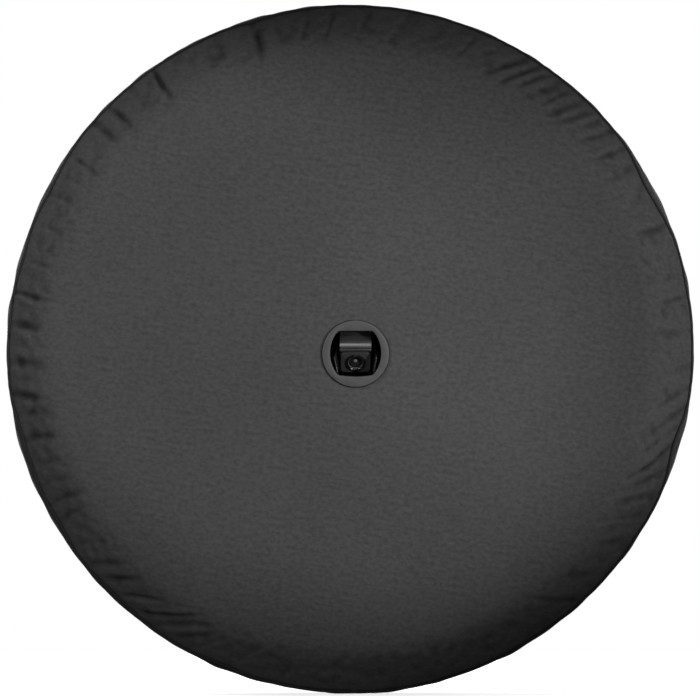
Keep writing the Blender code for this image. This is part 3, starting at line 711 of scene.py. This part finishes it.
def box_object(name, bm, bevel, look, body):
    bmesh.ops.recalc_face_normals(bm, faces=bm.faces)
    mesh = bpy.data.meshes.new(name)
    bm.to_mesh(mesh)
    bm.free()
    obj = finish_object(name, mesh, (look,), body)
    ease_edges(obj, bevel, 35).harden_normals = False
    mesh.shade_smooth()
    mesh.set_sharp_from_angle(angle=math.radians(60))
    return obj


def prism(name, outline, low, high, bevel, look, body="camera", axis="Y", matrix=None):
    """An outline of (x, z) extruded along Y, or of (y, z) along X, with rounded edges."""
    bm = bmesh.new()
    if axis == "Y":
        verts = [bm.verts.new((a, low, b)) for a, b in outline]
        step = Vector((0, high - low, 0))
    else:
        verts = [bm.verts.new((low, a, b)) for a, b in outline]
        step = Vector((high - low, 0, 0))
    face = bm.faces.new(verts)
    made = bmesh.ops.extrude_face_region(bm, geom=[face])["geom"]
    bmesh.ops.translate(bm, verts=[v for v in made if isinstance(v, bmesh.types.BMVert)], vec=step)
    bm.transform(matrix if matrix is not None else CAMERA_FRAME)
    return box_object(name, bm, bevel, look, body)


def make_lock_ring(looks):
    low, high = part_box("lock_ring")
    outer = (high.z - low.z) / 2
    hub = 0.0412
    bore = 0.0371
    outline = [
        (bore, low.y), (outer, low.y), (outer, low.y + 0.0016), (outer - 0.0006, low.y + 0.0022),
        (hub + 0.001, low.y + 0.0028), (hub, low.y + 0.0038), (hub, high.y - 0.0005), (hub - 0.0005, high.y),
        (bore, high.y),
    ]
    ring = lathe("port_lock_ring", outline, (looks["black"],), PORT, 96)
    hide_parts("lock_ring")
    grips = bmesh.new()
    count = 16
    for k in range(count):
        turn = Matrix.Rotation(2 * math.pi * (k + 0.5) / count, 4, "Y")
        middle = (low.y + high.y) / 2 + 0.0008
        place = Matrix.Translation(PORT) @ turn @ Matrix.Translation((0.0435, middle, 0))
        size = Matrix.Diagonal((0.0050, high.y - low.y - 0.0028, 0.0022, 1))
        bmesh.ops.create_cube(grips, size=1.0, matrix=place @ size)
    box_object("lock_ring_grips", grips, 0.0006, looks["black"], "cover")


def make_patch(looks):
    """Webbing ring behind the face, with two rows of stitches."""
    low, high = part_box("port_reinforcement")
    outer = (high.z - low.z) / 2
    angle = around(240)
    top = low.y
    rows = []
    for radius, y in ((0.0375, top), (outer - 0.0006, top), (outer, top + 0.0006), (outer, high.y - 0.0004),
                      (outer - 0.0007, high.y), (0.0375, high.y)):
        wobble = 0.0003 * ripple(angle, 0.0, 71, (5, 20)) if radius > 0.05 else 0
        rows.append(port_circle(radius + wobble, y, angle))
    points = np.array(rows)
    uv = np.concatenate([points, points[:, :1]], 1)[..., [0, 2]]
    patch = grid_object("port_patch", points, uv, close_rows=True, looks=(looks["tape"],))
    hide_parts("port_reinforcement")

    def circle(radius):
        def curve(turn):
            return port_circle(radius, high.y, turn), np.tile((0.0, 1.0, 0.0), (len(turn), 1))

        return curve

    for name, radius in (("patch_stitches_outer", outer - 0.003), ("patch_stitches_inner", outer - 0.0065)):
        ring_stitches(name, circle(radius), int(2 * math.pi * radius / 0.0036), looks["thread"])


def make_gland(looks):
    low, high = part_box("cable_gland")
    wide, neck, bore = 0.0082, 0.0059, 0.003
    flange = 0.0016
    bottom, top = low.y, high.y
    outline = [(bore, bottom + 0.0004), (bore + 0.0005, bottom), (wide - 0.0005, bottom)]
    outline += [(wide, bottom + 0.0005), (wide, bottom + flange), (neck, bottom + flange)]
    outline += [(neck, top - flange), (wide, top - flange)]
    outline += [(wide, top - 0.0005), (wide - 0.0005, top), (bore + 0.0005, top), (bore, top - 0.0004)]
    gland = lathe("rubber_gland", outline, (looks["rubber"],), PORT, 48)
    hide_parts("cable_gland")


def make_bracket(looks):
    """Two cheeks that flare towards the window, on a base plate across the bucket's floor."""
    look = looks["bracket"]
    inner, wall = 0.0200, 0.0016
    rows, columns = 30, 22
    z_front = np.linspace(0.008, -0.0255, rows)[:, None]
    down = (0.008 - z_front) / 0.0335
    y_front = 0.024 - 0.0155 * smooth(down, 0.05, 0.42) + 0.0045 * smooth(down, 0.9, 1.0)
    flare = 0.0042 * smooth(down, 0.05, 0.36) * (1 - smooth(down, 0.34, 1.05))
    flare = flare + 0.0006 * smooth(down, 0.5, 1.0)
    z_back = np.linspace(0.011, -0.012, rows)[:, None]
    share = np.linspace(0, 1, columns)[None, :]
    back_y = 0.0604
    y = y_front + (back_y - y_front) * share
    z = z_front + (z_back - z_front) * smooth(share, 0.0, 0.8)
    x = inner + wall / 2 + flare * (1 - smooth(share, 0.0, 0.45))
    for side in (-1, 1):
        name = "bracket_cheek_left" if side < 0 else "bracket_cheek_right"
        points = np.stack([PORT.x + side * x + 0 * z, y + 0 * z, PORT.z + z], -1)
        mesh = bpy.data.meshes.new(name)
        faces = []
        for i in range(rows - 1):
            for j in range(columns - 1):
                a = i * columns + j
                faces.append((a, a + 1, a + columns + 1, a + columns))
        mesh.from_pydata(points.reshape(-1, 3).tolist(), [], faces)
        mesh.shade_smooth()
        cheek = finish_object(name, mesh, (look,), "cover")
        solid = cheek.modifiers.new("wall", "SOLIDIFY")
        solid.thickness = wall
        solid.offset = 0
        ease_edges(cheek, 0.0005, 50)
        if side < 0:
            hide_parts("tilt_bracket")
    base = rounded_outline(inner + wall, -0.012, 0.011, 0.002)
    place = Matrix.Translation(PORT)
    prism("bracket_base", base, 0.0603, 0.0623, 0.0004, look, "cover", matrix=place)


def rounded_outline(half_width, low, high, radius, steps=6):
    points = []
    right, left = half_width, -half_width
    for x, z, start in ((right, low, -90), (right, high, 0), (left, high, 90), (left, low, 180)):
        cx = x - math.copysign(radius, x)
        cz = z + (radius if z == low else -radius)
        for i in range(steps + 1):
            turn = math.radians(start + 90 * i / steps)
            points.append((cx + radius * math.cos(turn), cz + radius * math.sin(turn)))
    return points


# ---------------------------------------------------------------- camera


def make_hood(looks):
    """The brow: a roof over a groove, its front edge rounded tightly at both ends and slowly between."""
    top, front, under, lip, lip_back, back = 0.028, -0.021, 0.0223, 0.0185, -0.0163, 0.006
    groove = 0.0005
    turns = np.radians(np.linspace(180, 90, 25))
    round_radius = 0.0025 + 0.0085 * np.exp(-(((np.degrees(turns) - 117) / 11) ** 2))
    steps = round_radius[:, None] * np.stack([np.sin(turns), -np.cos(turns)], 1) * abs(turns[1] - turns[0])
    brow = np.cumsum(steps, 0)
    outline = [(back, top - 0.001), (back, under), (lip_back, under), (lip_back, lip), (front + 0.0006, lip)]
    outline += [(front, lip + 0.0006), (front, lip + 0.0030), (front + groove, lip + 0.0033)]
    outline += [(front + groove, lip + 0.0039), (front, lip + 0.0042)]
    outline += [(front + y, top - brow[-1, 1] + z) for y, z in brow.tolist()]
    outline += [(back - 0.001, top)]
    hood = prism("lens_hood", outline, -0.0188, 0.0188, 0.0004, looks["hood"], axis="X")
    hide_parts("camera_hood")


def make_face_plate(looks):
    """Plate round the lens, its corners well rounded and its edges eased."""
    angle = around(240)
    half, tall, power = 0.0176, 0.0150, 7
    outer = (np.abs(np.cos(angle) / half) ** power + np.abs(np.sin(angle) / tall) ** power) ** (-1 / power)
    hole, front, back, ease = 0.0094 + 0 * angle, -0.0180, -0.0163, 0.0006
    rows = [(hole, back), (hole, front + ease / 2), (hole + ease / 2, front), (outer - ease, front)]
    rows += [(outer - 0.3 * ease, front + 0.3 * ease), (outer, front + ease), (outer, back)]
    points = np.array([
        np.stack([radius * np.cos(angle), y + 0 * angle, radius * np.sin(angle)], -1) for radius, y in rows
    ])
    plate = grid_object("lens_plate", points, close_rows=True, looks=(looks["plate"],), body="camera")
    plate.data.transform(CAMERA_FRAME)
    plate.data.set_sharp_from_angle(angle=math.radians(40))
    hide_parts("lens_face_plate")


def lens_part(name, outline, look, steps, sharp=35):
    """A (radius, y) outline turned about the lens's axis, on the camera."""
    return lathe(name, outline, (look,), (0, 0, 0), steps, "camera", CAMERA_FRAME, sharp)


def dome_line(wide, edge, rise, count):
    """(radius, y) of a shallow dome, from its edge to its middle."""
    return [(r, edge - rise * (1 - (r / wide) ** 2)) for r in np.linspace(wide, 0, count)]


def make_lens(looks):
    """Ring, glass and the stepped, ringed well behind it."""
    back = -0.0174
    ring = [
        (0.0094, back), (0.0118, back), (0.0118, back - 0.0018), (0.0114, back - 0.0024),
        (0.0108, back - 0.0026), (0.0098, back - 0.0026), (0.0094, back - 0.0022),
    ]
    lens_ring = lens_part("lens_bezel_ring", ring[::-1], looks["ring"], 96)
    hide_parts("lens_ring")
    retainer = [
        (0.0080, back), (0.0092, back), (0.0092, back - 0.0012), (0.0088, back - 0.0016),
        (0.0080, back - 0.0008),
    ]
    lens_part("glass_retainer", retainer[::-1], looks["retainer"], 96)
    seat = -0.0163
    glass = [(0.0, seat), (0.0093, seat), (0.0093, seat - 0.0008)]
    glass += dome_line(0.0079, seat - 0.0008, 0.0009, 12)
    front_glass = lens_part("front_glass", glass, looks["glass"], 72, sharp=30)
    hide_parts("lens_glass")
    well = [(0.0070, -0.0160)]
    radius = 0.0067
    depth = -0.0159
    for _ in range(5):
        well.append((radius, depth))
        well.append((radius - 0.0005, depth))
        well.append((radius - 0.0006, depth + 0.0003))
        radius -= 0.00070
        depth += 0.0003
    well += [(0.0031, -0.0140), (0.0031, -0.0100), (0.0070, -0.0100)]
    lens_part("lens_well", well, looks["well"], 72)
    rim = [(0.0024, -0.0152), (0.0028, -0.0152), (0.0030, -0.0149), (0.0030, -0.0118), (0.0024, -0.0118)]
    lens_part("inner_lens_rim", rim, looks["rim"], 48)
    # Painted glint: the bead is light grey partly to stand for the glint; the strip lamp's reflection gives
    # the rest.
    bead = [(0.0, -0.0122), (0.0024, -0.0122)] + dome_line(0.0024, -0.0148, 0.0007, 9)
    lens_part("inner_lens_bead", bead, looks["painted_glint"], 40)


# ---------------------------------------------------------------- materials


class Nodes:
    """A material being built: its nodes, links and the shader that ends it."""

    def __init__(self, name, colour, roughness, metallic=0.0):
        self.material = bpy.data.materials.new(name)
        self.material.use_nodes = True
        self.tree = self.material.node_tree
        self.shader = self.tree.nodes["Principled BSDF"]
        self.set(**{"Base Color": (*colour, 1.0), "Roughness": roughness, "Metallic": metallic})

    def set(self, **values):
        for socket, value in values.items():
            self.shader.inputs[socket].default_value = value

    def node(self, kind, **settings):
        made = self.tree.nodes.new(kind)
        for key, value in settings.items():
            if key in made.inputs:
                made.inputs[key].default_value = value
            else:
                setattr(made, key, value)
        return made

    def link(self, output, target):
        self.tree.links.new(output, target)

    def place(self, scale, turn=0.0, uv=None):
        """Coordinates in metres times scale: the cloth's own, or the object's."""
        if uv:
            source = self.node("ShaderNodeUVMap", uv_map=uv).outputs["UV"]
        else:
            source = self.node("ShaderNodeTexCoord").outputs["Object"]
        sizes = [1 / number for number in scale]
        mapping = self.node("ShaderNodeMapping", vector_type="TEXTURE", Scale=sizes, Rotation=(0, 0, turn))
        self.link(source, mapping.inputs["Vector"])
        return mapping.outputs["Vector"]

    def noise(self, where, scale=1.0, detail=2.0, roughness=0.5):
        made = self.node("ShaderNodeTexNoise", Scale=scale, Detail=detail, Roughness=roughness)
        self.link(where, made.inputs["Vector"])
        return made.outputs["Fac"]

    def wave(self, where, scale, direction, distortion=0.0):
        made = self.node("ShaderNodeTexWave", Scale=scale, Distortion=distortion, bands_direction=direction)
        self.link(where, made.inputs["Vector"])
        return made.outputs["Fac"]

    def math(self, operation, first, second):
        made = self.node("ShaderNodeMath", operation=operation)
        for socket, value in zip(made.inputs, (first, second)):
            if isinstance(value, (int, float)):
                socket.default_value = value
            else:
                self.link(value, socket)
        return made.outputs[0]

    def spread(self, value, low, high, to_low, to_high):
        made = self.node("ShaderNodeMapRange", clamp=True)
        self.link(value, made.inputs["Value"])
        sockets = ("From Min", "From Max", "To Min", "To Max")
        for socket, number in zip(sockets, (low, high, to_low, to_high)):
            made.inputs[socket].default_value = number
        return made.outputs["Result"]

    def blend(self, share, first, second):
        made = self.node("ShaderNodeMix", data_type="RGBA")
        self.link(share, made.inputs["Factor"])
        made.inputs[6].default_value = (*first, 1)
        if isinstance(second, tuple):
            made.inputs[7].default_value = (*second, 1)
        else:
            self.link(second, made.inputs[7])
        return made.outputs[2]

    def product(self, first, second):
        made = self.node("ShaderNodeMix", data_type="RGBA", blend_type="MULTIPLY")
        made.inputs["Factor"].default_value = 1.0
        self.link(first, made.inputs[6])
        self.link(second, made.inputs[7])
        return made.outputs[2]

    def colour(self, value):
        self.link(value, self.shader.inputs["Base Color"])

    def rough(self, value):
        self.link(value, self.shader.inputs["Roughness"])

    def bump(self, height, distance, strength=1.0):
        made = self.node("ShaderNodeBump", Strength=strength, Distance=distance)
        self.link(height, made.inputs["Height"])
        self.link(made.outputs["Normal"], self.shader.inputs["Normal"])


def canvas_look():
    """Heathered charcoal canvas: slubby threads a little off level, finer ones across them, relief, and
    painted shade that darkens its creases.
    """
    look = Nodes("heathered_canvas", (0.062, 0.062, 0.063), 0.9)
    lean = math.radians(-8)
    heather = look.noise(look.place((170, 220, 1), lean, "cloth"), 1.0, 2.0, 0.5)
    slub = look.noise(look.place((50, 220, 1), lean, "cloth"), 1.0, 2.0, 0.5)
    weft = look.noise(look.place((260, 1200, 1), lean, "cloth"), 1.0, 2.0, 0.6)
    warp = look.noise(look.place((1500, 300, 1), lean, "cloth"), 1.0, 2.0, 0.5)
    cloud = look.noise(look.place((7, 7, 1), 0, "cloth"), 1.0, 3.0, 0.5)
    tone = look.math("MULTIPLY", heather, 0.40)
    tone = look.math("ADD", tone, look.math("MULTIPLY", slub, 0.20))
    tone = look.math("ADD", tone, look.math("MULTIPLY", weft, 0.14))
    tone = look.math("ADD", tone, look.math("MULTIPLY", warp, 0.14))
    tone = look.math("ADD", tone, look.math("MULTIPLY", cloud, 0.12))
    share = look.spread(tone, 0.36, 0.64, 0.0, 1.0)
    woven_colour = look.blend(share, (0.045, 0.045, 0.045), (0.078, 0.078, 0.078))
    # Painted shade: the colour darkens to a third in the deepest creases, read from the attribute stored on
    # the face cloth.
    crease_shade = look.node("ShaderNodeAttribute", attribute_name="crease_shade").outputs["Fac"]
    painted_crease_shade = look.blend(look.spread(crease_shade, -1.0, 0.0, 1.0, 0.0), (1, 1, 1), (0.32, 0.32, 0.32))
    look.colour(look.product(woven_colour, painted_crease_shade))
    threads = look.place((1, 1, 1), lean, "cloth")
    across = look.wave(threads, 330, "Y", 0.6)
    down = look.wave(threads, 330, "X", 0.6)
    woven = look.math("ADD", look.math("MULTIPLY", across, down), tone)
    look.bump(woven, 0.00014, 0.5)
    look.rough(look.spread(tone, 0.3, 0.7, 0.96, 0.84))
    look.set(**{"Sheen Weight": 0.06, "Sheen Roughness": 0.5, "Specular IOR Level": 0.25})
    return look.material


def lining_look():
    look = Nodes("coated_lining", (0.03, 0.03, 0.031), 0.75)
    grain = look.noise(look.place((700, 700, 1), 0, "cloth"), 1.0, 2.0)
    cloud = look.noise(look.place((9, 9, 1), 0, "cloth"), 1.0, 3.0)
    share = look.math("ADD", look.math("MULTIPLY", grain, 0.6), look.math("MULTIPLY", cloud, 0.4))
    look.colour(look.blend(share, (0.022, 0.022, 0.023), (0.046, 0.046, 0.047)))
    look.bump(grain, 0.0002, 0.4)
    look.rough(look.spread(cloud, 0.3, 0.7, 0.7, 0.85))
    return look.material


def tape_look():
    look = Nodes("binding_tape", (0.018, 0.018, 0.019), 0.85)
    rib = look.wave(look.place((1, 1, 1), 0, "cloth"), 260, "DIAGONAL", 0.3)
    fuzz = look.noise(look.place((900, 900, 1), 0, "cloth"), 1.0, 2.0)
    share = look.math("ADD", look.math("MULTIPLY", rib, 0.5), look.math("MULTIPLY", fuzz, 0.5))
    look.colour(look.blend(share, (0.010, 0.010, 0.011), (0.030, 0.030, 0.031)))
    look.bump(rib, 0.00025, 0.6)
    look.set(**{"Sheen Weight": 0.1, "Sheen Roughness": 0.4})
    return look.material


def piping_look():
    look = Nodes("piping_vinyl", (0.016, 0.016, 0.017), 0.45)
    grain = look.noise(look.place((1400, 1400, 1), 0, "cloth"), 1.0, 2.0)
    scuff = look.noise(look.place((40, 40, 1), 0, "cloth"), 1.0, 4.0)
    look.colour(look.blend(scuff, (0.014, 0.014, 0.014), (0.026, 0.026, 0.026)))
    look.rough(look.spread(scuff, 0.3, 0.7, 0.62, 0.78))
    look.set(**{"Specular IOR Level": 0.25})
    look.bump(grain, 0.0001, 0.3)
    return look.material


def thread_look():
    look = Nodes("polyester_thread", (0.02, 0.02, 0.021), 0.55)
    ply = look.wave(look.place((1, 1, 1), 0), 900, "DIAGONAL")
    look.colour(look.blend(ply, (0.012, 0.012, 0.013), (0.032, 0.032, 0.033)))
    look.set(**{"Sheen Weight": 0.2})
    return look.material


def elastic_look():
    look = Nodes("knitted_elastic", (0.5, 0.5, 0.48), 0.9)
    rib = look.wave(look.place((1, 1, 1), 0), 300, "Y")
    look.colour(look.blend(rib, (0.36, 0.36, 0.34), (0.62, 0.62, 0.6)))
    look.bump(rib, 0.0002, 0.5)
    return look.material


def grey(value):
    return value, value, value


def plastic_look(name, dark, light, rough, grain_size=1600, grain=0.00006, spec=0.5):
    """Moulded plastic: fine grain, and handling marks that vary its tone and gloss."""
    look = Nodes(name, tuple((a + b) / 2 for a, b in zip(dark, light)), sum(rough) / 2)
    marks = look.noise(look.place((60, 60, 60)), 1.0, 5.0, 0.6)
    fine = look.noise(look.place((grain_size,) * 3), 1.0, 2.0)
    look.colour(look.blend(look.spread(marks, 0.3, 0.7, 0, 1), dark, light))
    look.rough(look.spread(marks, 0.3, 0.7, *rough))
    look.bump(fine, grain, 0.5)
    look.set(**{"Specular IOR Level": spec})
    return look.material


def rubber_look():
    return plastic_look("moulded_rubber", grey(0.007), grey(0.014), (0.6, 0.8), 900, 0.0001, 0.4)


def metal_look(name, dark, light, rough):
    look = Nodes(name, light, rough[0], 1.0)
    brushed = look.noise(look.place((300, 2400, 300)), 1.0, 3.0)
    look.colour(look.blend(brushed, dark, light))
    look.rough(look.spread(brushed, 0.3, 0.7, *rough))
    look.bump(brushed, 0.00003, 0.3)
    return look.material


def glass_look():
    """Thin coated glass: clear head-on, mirror-like at a slant."""
    look = Nodes("coated_front_glass", (0.9, 0.9, 0.9), 0.02, 1.0)
    smear = look.noise(look.place((90, 90, 90)), 1.0, 4.0)
    look.rough(look.spread(smear, 0.4, 0.7, 0.01, 0.05))
    clear = look.node("ShaderNodeBsdfTransparent", Color=(0.93, 0.93, 0.94, 1))
    facing = look.node("ShaderNodeLayerWeight", Blend=0.3).outputs["Facing"]
    mix = look.node("ShaderNodeMixShader")
    look.link(look.spread(facing, 0.25, 1.0, 0.02, 0.6), mix.inputs[0])
    look.link(clear.outputs[0], mix.inputs[1])
    look.link(look.shader.outputs[0], mix.inputs[2])
    look.link(mix.outputs[0], look.tree.nodes["Material Output"].inputs["Surface"])
    return look.material


def board_look():
    look = Nodes("solder_mask", (0.02, 0.12, 0.05), 0.5)
    tracks = look.node("ShaderNodeTexVoronoi", Scale=1.0, feature="DISTANCE_TO_EDGE")
    look.link(look.place((420, 420, 420)), tracks.inputs["Vector"])
    share = look.spread(tracks.outputs["Distance"], 0.05, 0.12, 0.0, 1.0)
    look.colour(look.blend(share, (0.04, 0.2, 0.08), (0.012, 0.08, 0.035)))
    return look.material


def make_looks():
    return {
        "canvas": canvas_look(),
        "lining": lining_look(),
        "tape": tape_look(),
        "piping": piping_look(),
        "thread": thread_look(),
        "elastic": elastic_look(),
        "rubber": rubber_look(),
        "bezel": plastic_look("trim_plastic", grey(0.048), grey(0.061), (0.42, 0.56), 1200, 0.00008),
        "black": plastic_look("black_moulding", grey(0.006), grey(0.012), (0.5, 0.7)),
        "bracket": plastic_look("bracket_moulding", grey(0.010), grey(0.018), (0.28, 0.42)),
        "hood": plastic_look("hood_moulding", grey(0.034), grey(0.046), (0.34, 0.42)),
        "plate": plastic_look("plate_moulding", grey(0.036), grey(0.046), (0.4, 0.5)),
        "ring": plastic_look("ring_moulding", grey(0.005), grey(0.008), (0.18, 0.3)),
        "retainer": plastic_look("retainer_moulding", grey(0.055), grey(0.070), (0.6, 0.7), spec=0.2),
        "well": plastic_look("well_baffles", grey(0.016), grey(0.026), (0.3, 0.45)),
        "rim": metal_look("inner_rim_metal", (0.10, 0.10, 0.11), (0.16, 0.16, 0.17), (0.5, 0.6)),
        # Painted glint: the bead's light grey is partly a painted glint.
        "painted_glint": plastic_look("bead_painted_glint", grey(0.20), grey(0.28), (0.1, 0.2)),
        "steel": metal_look("fastener_steel", (0.32, 0.32, 0.33), (0.55, 0.55, 0.56), (0.25, 0.4)),
        "brass": metal_look("blackened_eyelet", (0.03, 0.028, 0.025), (0.09, 0.082, 0.07), (0.3, 0.5)),
        "glass": glass_look(),
        "board": board_look(),
        "chip": plastic_look("chip_cover", (0.03, 0.03, 0.04), (0.05, 0.05, 0.07), (0.08, 0.15)),
    }


# The inner lens takes the bead's light grey, which is partly a painted glint.
CAD_LOOKS = {
    "camera_body_front": "black", "camera_body_rear": "black", "body_seal": "rubber", "lens_barrel": "black",
    "lens_seal": "rubber", "inner_lens": "painted_glint", "sensor_board": "board", "image_sensor": "chip",
    "cable_socket": "black", "friction_washer_left": "rubber", "friction_washer_right": "rubber",
}


def dress_cad_nodes(looks):
    """Gives the CAD nodes that stay visible their finished materials."""
    for name, obj in frame["nodes"].items():
        if obj.hide_render:
            continue
        look = CAD_LOOKS.get(name)
        if look is None:
            look = "steel" if "screw" in name else "brass"
        obj.data.materials.clear()
        obj.data.materials.append(looks[look])


# ---------------------------------------------------------------- studio


def aim(obj, target):
    obj.rotation_euler = (Vector(target) - obj.location).to_track_quat("-Z", "Y").to_euler()


def around_axis(distance, tilt, turn):
    """A place at a distance from the face, tilt degrees off its axis and turned from +X towards +Z."""
    t, a = math.radians(tilt), math.radians(turn)
    off = distance * math.sin(t)
    return Vector((off * math.cos(a), -distance * math.cos(t), off * math.sin(a)))


def spot(name, place, target, power, reach, soft):
    """A round soft-edged light; reach is the radius that it lights at its target."""
    data = bpy.data.lights.new(name, "SPOT")
    data.energy = power
    data.shadow_soft_size = 0.06
    obj = bpy.data.objects.new(name, data)
    bpy.context.scene.collection.objects.link(obj)
    obj.location = place
    aim(obj, target)
    data.spot_size = 2 * math.atan(reach / (Vector(target) - obj.location).length)
    data.spot_blend = soft
    return obj


def softbox(name, place, target, power, size):
    data = bpy.data.lights.new(name, "AREA")
    data.shape = "RECTANGLE"
    data.size, data.size_y = size
    data.energy = power
    obj = bpy.data.objects.new(name, data)
    bpy.context.scene.collection.objects.link(obj)
    obj.location = place
    obj.visible_camera = False
    aim(obj, target)
    return obj


def make_world():
    """White to the eye, dim as a light."""
    world = bpy.data.worlds.new("studio")
    bpy.context.scene.world = world
    world.use_nodes = True
    tree = world.node_tree
    plain = tree.nodes["Background"]
    plain.inputs["Color"].default_value = (1, 1, 1, 1)
    plain.inputs["Strength"].default_value = 0.05
    bright = tree.nodes.new("ShaderNodeBackground")
    bright.inputs["Color"].default_value = (1, 1, 1, 1)
    bright.inputs["Strength"].default_value = 1.0
    rays = tree.nodes.new("ShaderNodeLightPath")
    mix = tree.nodes.new("ShaderNodeMixShader")
    tree.links.new(rays.outputs["Is Camera Ray"], mix.inputs[0])
    tree.links.new(plain.outputs[0], mix.inputs[1])
    tree.links.new(bright.outputs[0], mix.inputs[2])
    tree.links.new(mix.outputs[0], tree.nodes["World Output"].inputs["Surface"])


def make_floor():
    """Pale floor just under the cover, kept near white by one light without shadows and one with."""
    level = cad_box[0].z - 0.0025
    bpy.ops.mesh.primitive_circle_add(vertices=96, radius=3, fill_type="NGON", location=(0, 0, level))
    floor = bpy.context.object
    floor.name = "studio_floor"
    look = Nodes("pale_floor", (0.86, 0.86, 0.86), 0.9)
    grain = look.noise(look.place((3, 3, 3)), 1.0, 3.0)
    pale = look.blend(grain, (0.85, 0.85, 0.85), (0.87, 0.87, 0.87))
    rays = look.node("ShaderNodeLightPath")
    dim = look.blend(rays.outputs["Is Camera Ray"], (0.04, 0.04, 0.04), (1, 1, 1))
    look.colour(look.product(pale, dim))
    look.set(**{"Specular IOR Level": 0.0})
    floor.data.materials.append(look.material)
    only_floor = bpy.data.collections.new("lit_floor")
    only_floor.objects.link(floor)
    for name, power, shadows in (("floor_light", 555, False), ("floor_shadow_light", 25, True)):
        sky = softbox(name, (0, 0, 5), (0, 0, 0), power, (7, 7))
        sky.light_linking.receiver_collection = only_floor
        if not shadows:
            sky.light_linking.blocker_collection = only_floor


# Lamps on the face: tilt off the axis and turn from +X towards +Z in degrees, the x and z aimed at and the
# radius lit in metres, how much of that is soft edge, and watts.
FACE_LAMPS = [
    (40, 0, 0.05, 0.05, 0.40, 0.4, 290),
    (40, 0, 0.25, 0.05, 0.25, 0.5, 120),
    (40, 180, -0.05, 0.00, 0.40, 0.2, 120),
    (55, 135, -0.20, 0.10, 0.30, 0.5, 160),
    (25, 45, -0.10, -0.05, 0.40, 0.2, 140),
]
PORT_PIECES = [
    "lens_hood", "lens_plate", "lens_bezel_ring", "lens_well", "inner_lens_rim",
    "inner_lens_bead", "bracket_cheek_left", "bracket_cheek_right",
]


def make_lights():
    """Soft-edged lamps on the face, a strip for the camera, and softboxes at the sides and behind."""
    for number, (tilt, turn, x, z, reach, soft, power) in enumerate(FACE_LAMPS):
        spot(f"face_lamp_{number + 1}", around_axis(4, tilt, turn), (x, 0, z), power, reach, soft)
    strip = softbox("port_strip", around_axis(2.5, 50, 90), (0, 0, 0), 34, (1.2, 1.2))
    port = bpy.data.collections.new("port_pieces")
    for name in PORT_PIECES:
        port.objects.link(bpy.data.objects[name])
    strip.light_linking.receiver_collection = port
    softbox("right_side", (1.0, 0.0, 0.12), (0.4, 0.03, 0), 0.55, (0.3, 0.5))
    softbox("left_side", around_axis(2.5, 92, 145), (0, 0.1, 0), 1.5, (1.2, 1.2))
    softbox("back_left", (-2.2, 2.6, 1.2), (0, 0.2, 0), 60, (1.6, 1.6))
    softbox("back_right", (2.0, 3.0, 0.9), (0, 0.2, 0), 40, (1.6, 1.6))


def make_camera():
    """A long lens far in front, square to the face, nearly a flat projection."""
    data = bpy.data.cameras.new("view")
    distance = 20.0
    frame_width = 0.8338
    data.sensor_width = 36
    data.lens = data.sensor_width * (distance + 0.1) / frame_width
    data.clip_start, data.clip_end = 1.0, 100.0
    obj = bpy.data.objects.new("view", data)
    bpy.context.scene.collection.objects.link(obj)
    obj.location = (0, -distance, -0.0018)
    obj.rotation_euler = (math.pi / 2, 0, 0)
    bpy.context.scene.camera = obj
    bpy.context.scene.view_settings.view_transform = "Standard"


def main():
    make_camera()
    looks = make_looks()
    make_face(looks)
    make_band(looks)
    make_skirt(looks)
    make_welts(looks)
    make_seam_tapes(looks)
    make_hem(looks)
    make_stitching(looks)
    make_bezel(looks)
    make_gasket(looks)
    make_bucket(looks)
    make_lock_ring(looks)
    make_patch(looks)
    make_gland(looks)
    make_bracket(looks)
    make_hood(looks)
    make_face_plate(looks)
    make_lens(looks)
    dress_cad_nodes(looks)
    make_world()
    make_floor()
    make_lights()


main()
